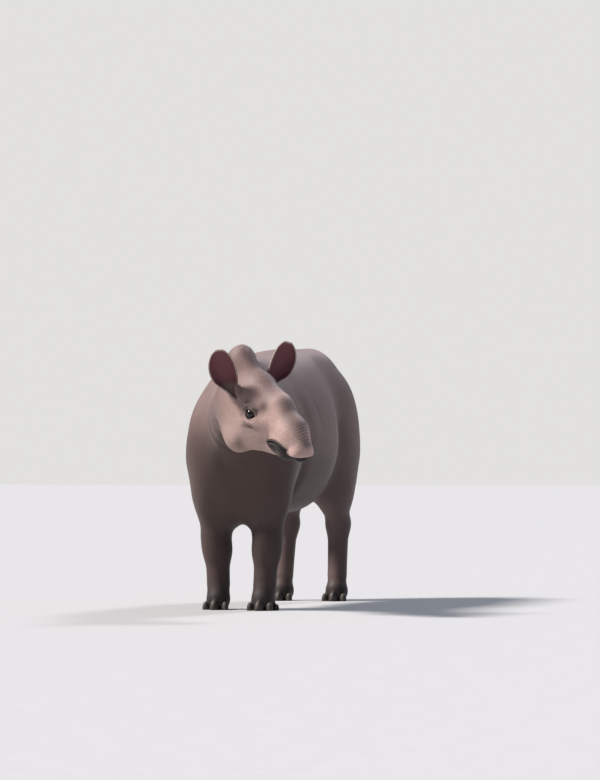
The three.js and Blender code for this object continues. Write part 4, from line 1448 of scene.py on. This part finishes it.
def grow(name, slot_name, hair, tuft, places, patch, tufts, long, stray=0.3, lie_down=0.0):
    """Grows one coat piece from one patch of the skin, as a plain mesh.

    `places` names the skin's attributes for where the hair grows, how long it is, and its random seed.
    """
    hide = bpy.data.objects["hide"]
    modifier = hide.modifiers.new(name, "NODES")
    modifier.node_group = bpy.data.node_groups["tufts_on_skin"]
    where, length_of, seed = places
    values = {
        "Tuft": tuft,
        "Patch": patch,
        "Where": where,
        "Long": length_of,
        "Tufts per m2": tufts,
        "Length": long,
        "Stray": stray,
        "Lie down": lie_down,
        "Seed": seed + patch,
        "Hair": hair,
    }
    for item in modifier.node_group.interface.items_tree:
        if item.in_out == "INPUT" and item.name in values:
            modifier[item.identifier] = values[item.name]
    hide.update_tag()
    bpy.context.view_layer.update()
    graph = bpy.context.evaluated_depsgraph_get()
    mesh = bpy.data.meshes.new_from_object(
        hide.evaluated_get(graph), preserve_all_data_layers=True, depsgraph=graph
    )
    hide.modifiers.remove(modifier)
    for attribute in [a.name for a in mesh.attributes]:
        if attribute not in KEPT_ATTRIBUTES and not attribute.startswith("."):
            mesh.attributes.remove(mesh.attributes[attribute])
    mesh.name = name
    triangles = sum(len(f.vertices) - 2 for f in mesh.polygons)
    if not 0 < triangles < COAT_LIMIT:
        raise RuntimeError(f"{name} has {triangles} triangles")
    finish_piece(linked(name, mesh))


# Settings


def number(name, description, default, low=0, **limits):
    return bpy.props.FloatProperty(name=name, description=description, default=default, min=low, **limits)


def size(name, description, millimetres, low=1, high=1000):
    limits = {"low": low * MM, "max": high * MM, "unit": "LENGTH"}
    return number(name, description, millimetres * MM, **limits)


def angle(name, description, degrees):
    return number(name, description, math.radians(degrees), -math.tau, subtype="ANGLE")


def whole(name, description, default, low=0):
    return bpy.props.IntProperty(name=name, description=description, default=default, min=low)


def colour(name, description, *srgb):
    limits = {"subtype": "COLOR", "size": 3, "min": 0, "max": 1, "default": tuple(linear(srgb))}
    return bpy.props.FloatVectorProperty(name=name, description=description, **limits)


class TapirColours(bpy.types.PropertyGroup):
    """Colours of the coat, skin, horn and floor."""

    # lighter than the flank as painted light on the coat facing up; the ears' backs take it too
    back: colour("Back", "Coat along the back and crown", 132, 112, 111)
    flank: colour("Flank", "Coat on the sides", 113, 94, 91)
    # dark as painted shade under the trunk
    shaded_belly: colour("Belly", "Coat under the trunk", 74, 59, 55)
    # dark as painted shade and shadow under the neck and on the chest
    throat: colour("Throat", "Coat under the throat and on the chest", 74, 57, 53)
    leg: colour("Leg", "Coat on the legs", 64, 50, 47)
    foot: colour("Foot", "Coat above the hooves", 44, 37, 35)
    face: colour("Face", "Coat on the face", 154, 128, 121)
    cheek: colour("Cheek", "Pale coat on the cheek", 196, 168, 158)
    snout: colour("Snout", "Short coat on the snout", 184, 155, 147)
    lip: colour("Lip", "Bare skin of lips and nostrils", 27, 23, 24)
    lid: colour("Lid", "Bare skin of the eyelids", 34, 26, 25)
    cup: colour("Ear cup", "Bare skin inside the ears", 112, 66, 72)
    rim: colour("Ear rim", "Pale rim of the ears", 176, 156, 145)
    mane: colour("Mane", "Hair of the short crest mane", 140, 117, 114)
    hoof: colour("Hoof", "Horn of the hooves", 40, 35, 32)
    floor: colour("Floor", "Studio floor", 172, 172, 173)


class TapirSkin(bpy.types.PropertyGroup):
    """Sizes of the skin's mesh."""

    cell: size("Cell", "Size of the largest cells of the skin's mesh", 13.8, 8, 40)
    passes: whole("Passes", "Times that the mesh is evened out", 3, 1)
    hoof_cell: size("Hoof cell", "Size of the cells of the hooves' meshes", 2.2, 1, 6)


class TapirCoat(bpy.types.PropertyGroup):
    """How thick and how long the coat and mane grow."""

    body_tufts: number("Body tufts", "Tufts on each square metre of the body", 19000, 100)
    body_length: size("Body hair", "Length of the hair on the body", 8.5)
    head_tufts: number("Head tufts", "Tufts on each square metre of the head", 50000, 100)
    mane_tufts: number("Mane tufts", "Tufts on each square metre of the crest", 80000, 100)
    mane_length: size("Mane hair", "Length of the mane's hair", 14)
    fringe_tufts: number("Fringe tufts", "Tufts on each square metre of the ears' rims", 90000, 100)
    fringe_length: size("Ear fringe", "Length of the hair on the ears' rims", 8.8)
    seed: whole("Seed", "Seed of all the random places", 7)


class TapirStudio(bpy.types.PropertyGroup):
    """Camera and lights."""

    turn: angle("Turn", "How far the camera stands to the animal's left", 18)
    rise: angle("Rise", "How far the camera stands above the floor under the animal", 2.5)
    distance: number("Distance", "From the camera to the animal", 12, 1, unit="LENGTH")
    pixels_per_metre: number("Scale", "Pixels for each metre at the animal", 272, 1)
    key: number("Key", "Strength of the soft light from above the picture's left", 6.2)
    edge: number("Edge", "Strength of the light from behind", 1.5)
    sky: number("Sky", "Strength of the light all round", 0.26)
    backdrop: number("Backdrop", "Brightness of the plain ground behind the floor", 0.76)


# Operators

MANE_SEED, FRINGE_SEED = 50, 70  # added to the coat's seed
LEG_NODES = [name for name, *_ in LEGS]
FLESH = ["head", "neck", "torso", "tail", "ear_left", "ear_right", *LEG_NODES]


def finish_piece(piece, nodes=()):
    """The piece moves with the animal, and the model's parts that it stands in for are hidden."""
    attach(piece, "root")
    if nodes:
        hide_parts(*nodes)


def colours_of(scene):
    group = scene.tapir_colours
    return {name: np.array(getattr(group, name), float) for name in TapirColours.__annotations__}


class TAPIR_OT_skin(bpy.types.Operator):
    """Mesh the skin of body, head, ears and legs as one closed surface"""

    bl_idname = "tapir.skin"
    bl_label = "Skin"

    def execute(self, context):
        settings = context.scene.tapir_skin
        points, faces = net(skin, SKIN_LOW, SKIN_HIGH, settings.cell / MM, skin_level)
        points, ways = settle(skin, points, faces, settings.passes)
        piece = new_object("hide", points, faces)
        mesh = piece.data
        if len(mesh.vertices) != len(points) or len(mesh.polygons) != len(faces):
            raise RuntimeError("the skin's mesh lost points or faces")
        marks = Markings(points, ways, colours_of(context.scene))
        store(mesh, "tone", "FLOAT_COLOR", np.concatenate((marks.tone, np.ones((len(points), 1))), axis=1))
        store(mesh, "up", "FLOAT_VECTOR", ways)
        store(mesh, "lie", "FLOAT_VECTOR", marks.lie)
        for name in ("grow", "fur", "mane", "mane_long", "rim", "leg_share", "head_share"):
            store(mesh, name, "FLOAT", getattr(marks, name))
        middle = np.array([points[f].mean(0) for f in faces])
        store(mesh, "patch", "INT", patches(middle.T), "FACE")
        chart = np.concatenate((unwrap(points, faces), np.zeros((sum(map(len, faces)), 1))), axis=1)
        store(mesh, "chart", "FLOAT_VECTOR", chart, "CORNER")
        mesh.materials.append(hide_finish())
        print("skin", len(points), "points", sum(len(f) - 2 for f in faces), "triangles")
        return {"FINISHED"}


class TAPIR_OT_coat(bpy.types.Operator):
    """Grow the short coat over the skin, one piece for each part of the body"""

    bl_idname = "tapir.coat"
    bl_label = "Coat"

    def execute(self, context):
        settings = context.scene.tapir_coat
        tuft_tree()
        hair = coat_finish("tapir_coat", 1.06)
        body = tuft_pattern("body_tuft", blades=5, spread=0.5, width=0.07, lift=0.05, seed=3)
        face = tuft_pattern("face_tuft", blades=4, spread=0.5, width=0.09, lift=0.09, seed=5)
        places = "fur", "grow", settings.seed
        for patch, name in enumerate(PATCHES):
            on_head = name.startswith("head")
            tuft, tufts = (face, settings.head_tufts) if on_head else (body, settings.body_tufts)
            grow("coat_" + name, "hide", hair, tuft, places, patch, tufts, settings.body_length)
        return {"FINISHED"}


class TAPIR_OT_mane(bpy.types.Operator):
    """Grow the short upright mane along the crest"""

    bl_idname = "tapir.mane"
    bl_label = "Mane"

    def execute(self, context):
        settings = context.scene.tapir_coat
        hair = coat_finish("tapir_mane", 1.3)
        tuft = tuft_pattern("mane_tuft", blades=4, spread=0.12, width=0.05, lift=0.22, seed=9, bent=True)
        places = "mane", "mane_long", settings.seed + MANE_SEED
        tufts, long = settings.mane_tufts, settings.mane_length
        for patch, name in enumerate(PATCHES[:6]):
            grow("mane_" + name, "hide", hair, tuft, places, patch, tufts, long, stray=0.4, lie_down=0.3)
        return {"FINISHED"}


class TAPIR_OT_ear_fringe(bpy.types.Operator):
    """Grow the pale fringe on the rims of the ears"""

    bl_idname = "tapir.ear_fringe"
    bl_label = "Ear fringe"

    def execute(self, context):
        settings = context.scene.tapir_coat
        hair = coat_finish("tapir_ear_fringe", 1.15)
        tuft = tuft_pattern("fringe_tuft", blades=4, spread=0.3, width=0.06, lift=0.3, seed=13, bent=True)
        places = "rim", "grow", settings.seed + FRINGE_SEED
        tufts, long = settings.fringe_tufts, settings.fringe_length
        for patch, side in enumerate(SIDES):
            name = "fringe_ear_" + side
            grow(name, "ear_skin", hair, tuft, places, patch, tufts, long, stray=0.7, lie_down=0.35)
        return {"FINISHED"}


class TAPIR_OT_eyes(bpy.types.Operator):
    """Make both eyes, each with a bulging clear front turned to its gaze"""

    bl_idname = "tapir.eyes"
    bl_label = "Eyes"

    def execute(self, context):
        finish = eye_finish()
        rings, spokes = 36, 56
        for name, side in (("eye_left", 1), ("eye_right", -1)):
            gaze = np.array((side * math.cos(GAZE_TURN), -math.sin(GAZE_TURN), 0.02))
            gaze /= np.linalg.norm(gaze)
            across = np.cross(gaze, (0, 0, 1))
            across /= np.linalg.norm(across)
            above = np.cross(across, gaze)
            centre = np.array((side * EYE_AT[0], EYE_AT[1], EYE_AT[2]))
            points, off_gaze = [centre + gaze * (EYE_RADIUS + 1.2)], [0.0]
            for i in range(1, rings):
                angle = math.pi * (i / rings) ** 1.25
                radius = EYE_RADIUS - 0.1 + 1.3 * math.exp(-((angle / 0.42) ** 2))
                for j in range(spokes):
                    round_it = 2 * math.pi * j / spokes
                    sideways = across * math.cos(round_it) + above * math.sin(round_it)
                    points.append(centre + radius * (gaze * math.cos(angle) + sideways * math.sin(angle)))
                    off_gaze.append(angle / math.pi)
            points.append(centre - gaze * (EYE_RADIUS - 0.1))
            off_gaze.append(1.0)
            last = len(points) - 1
            faces = []
            for j in range(spokes):
                k = (j + 1) % spokes
                faces.append((0, 1 + j, 1 + k))
                for i in range(rings - 2):
                    a = 1 + i * spokes
                    faces.append((a + j, a + spokes + j, a + spokes + k, a + k))
                a = 1 + (rings - 2) * spokes
                faces.append((a + j, last, a + k))
            piece = new_object("eyeball_" + name[4:], HEAD.outside(np.array(points).T).T, faces)
            face_outwards(piece.data)
            store(piece.data, "off_gaze", "FLOAT", off_gaze)
            piece.data.materials.append(finish)
            finish_piece(piece, [name])
        return {"FINISHED"}


class TAPIR_OT_hooves(bpy.types.Operator):
    """Make the hooves of each foot, with growth rings"""

    bl_idname = "tapir.hooves"
    bl_label = "Hooves"

    def execute(self, context):
        finish = horn_finish(tuple(context.scene.tapir_colours.hoof))
        cell = context.scene.tapir_skin.hoof_cell / MM
        for node, _, end, side, step in LEGS:
            points, faces = [], []
            for toe in TOES[end]:
                place = toe_place(end, side, step, toe)
                smooth_hoof = hoof_field(toe[2], -0.1)

                def ringed(p):
                    facing = ((p - column((0, -2, 10))) * CUTICLE[:, None]).sum(0)
                    rings = 0.22 * np.sin(facing * 2 * math.pi / 4.4 + 0.25 * p[0])
                    return smooth_hoof(p) + rings * smoothstep(1.5, 5, p[2])

                w, l, h = toe[2]
                made, quads = net(ringed, (-w - 8, -l - 8, -7), (w + 8, l + 8, h + 12), cell)
                made, _ = settle(ringed, made, quads, 2)
                made[:, 2] = np.maximum(made[:, 2], 0)
                first = sum(len(v) for v in points)
                points.append(place.outside(made.T).T)
                faces += [[v + first for v in quad] for quad in quads]
            name = node.replace("leg", "hoof")
            piece = new_object(name.replace("hoof", "hooves"), np.concatenate(points), faces)
            piece.data.materials.append(finish)
            finish_piece(piece, [f"{name}_{i + 1}" for i in range(len(TOES[end]))])
        return {"FINISHED"}


class TAPIR_OT_studio(bpy.types.Operator):
    """Set the pale floor, the soft lights and the camera"""

    bl_idname = "tapir.studio"
    bl_label = "Studio"

    def execute(self, context):
        settings = context.scene.tapir_studio
        scene = context.scene
        reach, cells = 60.0, 24
        grid = np.linspace(-reach, reach, cells + 1)
        mesh = bpy.data.meshes.new("studio_floor")
        mesh.from_pydata([(x, y, 0.0) for y in grid for x in grid], [], grid_faces(cells, cells))
        floor = linked("studio_floor", mesh)
        mesh.materials.append(floor_finish(tuple(scene.tapir_colours.floor)))

        world = bpy.data.worlds.new("studio_sky")
        world.use_nodes = True
        sky = Nodes(world.node_tree)
        inputs = {"Color": (0.7, 0.82, 1.0, 1), "Strength": settings.sky}
        light = sky.add("ShaderNodeBackground", inputs).outputs[0]
        inputs = {"Color": (1.0, 0.99, 0.975, 1), "Strength": settings.backdrop}
        seen = sky.add("ShaderNodeBackground", inputs).outputs[0]
        seen_directly = sky.add("ShaderNodeLightPath").outputs["Is Camera Ray"]
        either = sky.add("ShaderNodeMixShader", {0: seen_directly, 1: light, 2: seen}).outputs[0]
        sky.feed(sky.tree.nodes["World Output"].inputs["Surface"], either)
        scene.world = world
        scene.view_settings.view_transform = "Standard"
        scene.view_settings.look = "None"

        anchor = Vector(SHIFT)
        turn, rise = settings.turn, settings.rise
        back = Vector((math.sin(turn) * math.cos(rise), -math.cos(turn) * math.cos(rise), math.sin(rise)))
        right = Vector((math.cos(turn), math.sin(turn), 0))
        above = back.cross(right)
        focal = settings.pixels_per_metre * settings.distance  # in pixels
        camera = linked("camera", bpy.data.cameras.new("camera"))
        camera.data.sensor_width = 36
        camera.data.lens = focal / PICTURE[1] * camera.data.sensor_width
        camera.data.clip_end = 500
        camera.location = anchor + back * settings.distance
        # the anchor's place in the picture, right of and below its middle
        off_x, off_y = ANCHOR_PIXEL[0] - PICTURE[0] / 2, ANCHOR_PIXEL[1] - PICTURE[1] / 2
        view = (-back * focal - right * off_x + above * off_y).normalized()
        camera.rotation_euler = view.to_track_quat("-Z", "Y").to_euler()
        scene.camera = camera

        for name, place, strength, softness, colour in (
            ("key", -0.66 * right + 0.74 * above + 0.08 * back, settings.key, 12, (1.0, 0.94, 0.9)),
            ("edge", 0.45 * right + 0.75 * above - 0.5 * back, settings.edge, 10, (0.9, 0.92, 1.0)),
        ):
            light = bpy.data.lights.new(name, "SUN")
            light.energy = strength
            light.angle = math.radians(softness)
            light.color = colour
            lamp = linked(name, light)
            lamp.location = anchor + 5 * place
            lamp.rotation_euler = (-place).to_track_quat("-Z", "Y").to_euler()
        return {"FINISHED"}


PICTURE = (600, 780)  # the picture's frame, in pixels
ANCHOR_PIXEL = (276.5, 605)  # where the floor under the middle of the trunk shows in it


class TAPIR_PT_build(bpy.types.Panel):
    """The tapir's pieces and settings"""

    bl_label = "Tapir"
    bl_space_type = "VIEW_3D"
    bl_region_type = "UI"
    bl_category = "Tapir"

    def draw(self, context):
        layout = self.layout
        for operator in OPERATORS:
            layout.operator(operator.bl_idname)
        for key_name, group in GROUPS.items():
            box = layout.box()
            box.label(text=group.__doc__)
            for name in group.__annotations__:
                box.prop(getattr(context.scene, key_name), name)


OPERATORS = [
    TAPIR_OT_studio,
    TAPIR_OT_skin,
    TAPIR_OT_eyes,
    TAPIR_OT_hooves,
    TAPIR_OT_coat,
    TAPIR_OT_mane,
    TAPIR_OT_ear_fringe,
]
GROUPS = {
    "tapir_colours": TapirColours,
    "tapir_skin": TapirSkin,
    "tapir_coat": TapirCoat,
    "tapir_studio": TapirStudio,
}


def register():
    for cls in (*GROUPS.values(), *OPERATORS, TAPIR_PT_build):
        bpy.utils.register_class(cls)
    for name, group in GROUPS.items():
        setattr(bpy.types.Scene, name, bpy.props.PointerProperty(type=group))


def unregister():
    for name in GROUPS:
        delattr(bpy.types.Scene, name)
    for cls in (TAPIR_PT_build, *reversed(OPERATORS), *reversed(GROUPS.values())):
        bpy.utils.unregister_class(cls)


def main():
    register()
    for operator in OPERATORS:
        group, name = operator.bl_idname.split(".")
        getattr(getattr(bpy.ops, group), name)()
    finish_piece(bpy.data.objects["hide"], FLESH)
    for name in ("body_tuft", "face_tuft", "mane_tuft", "fringe_tuft"):
        bpy.data.objects.remove(bpy.data.objects[name])


if __name__ == "__main__":
    main()
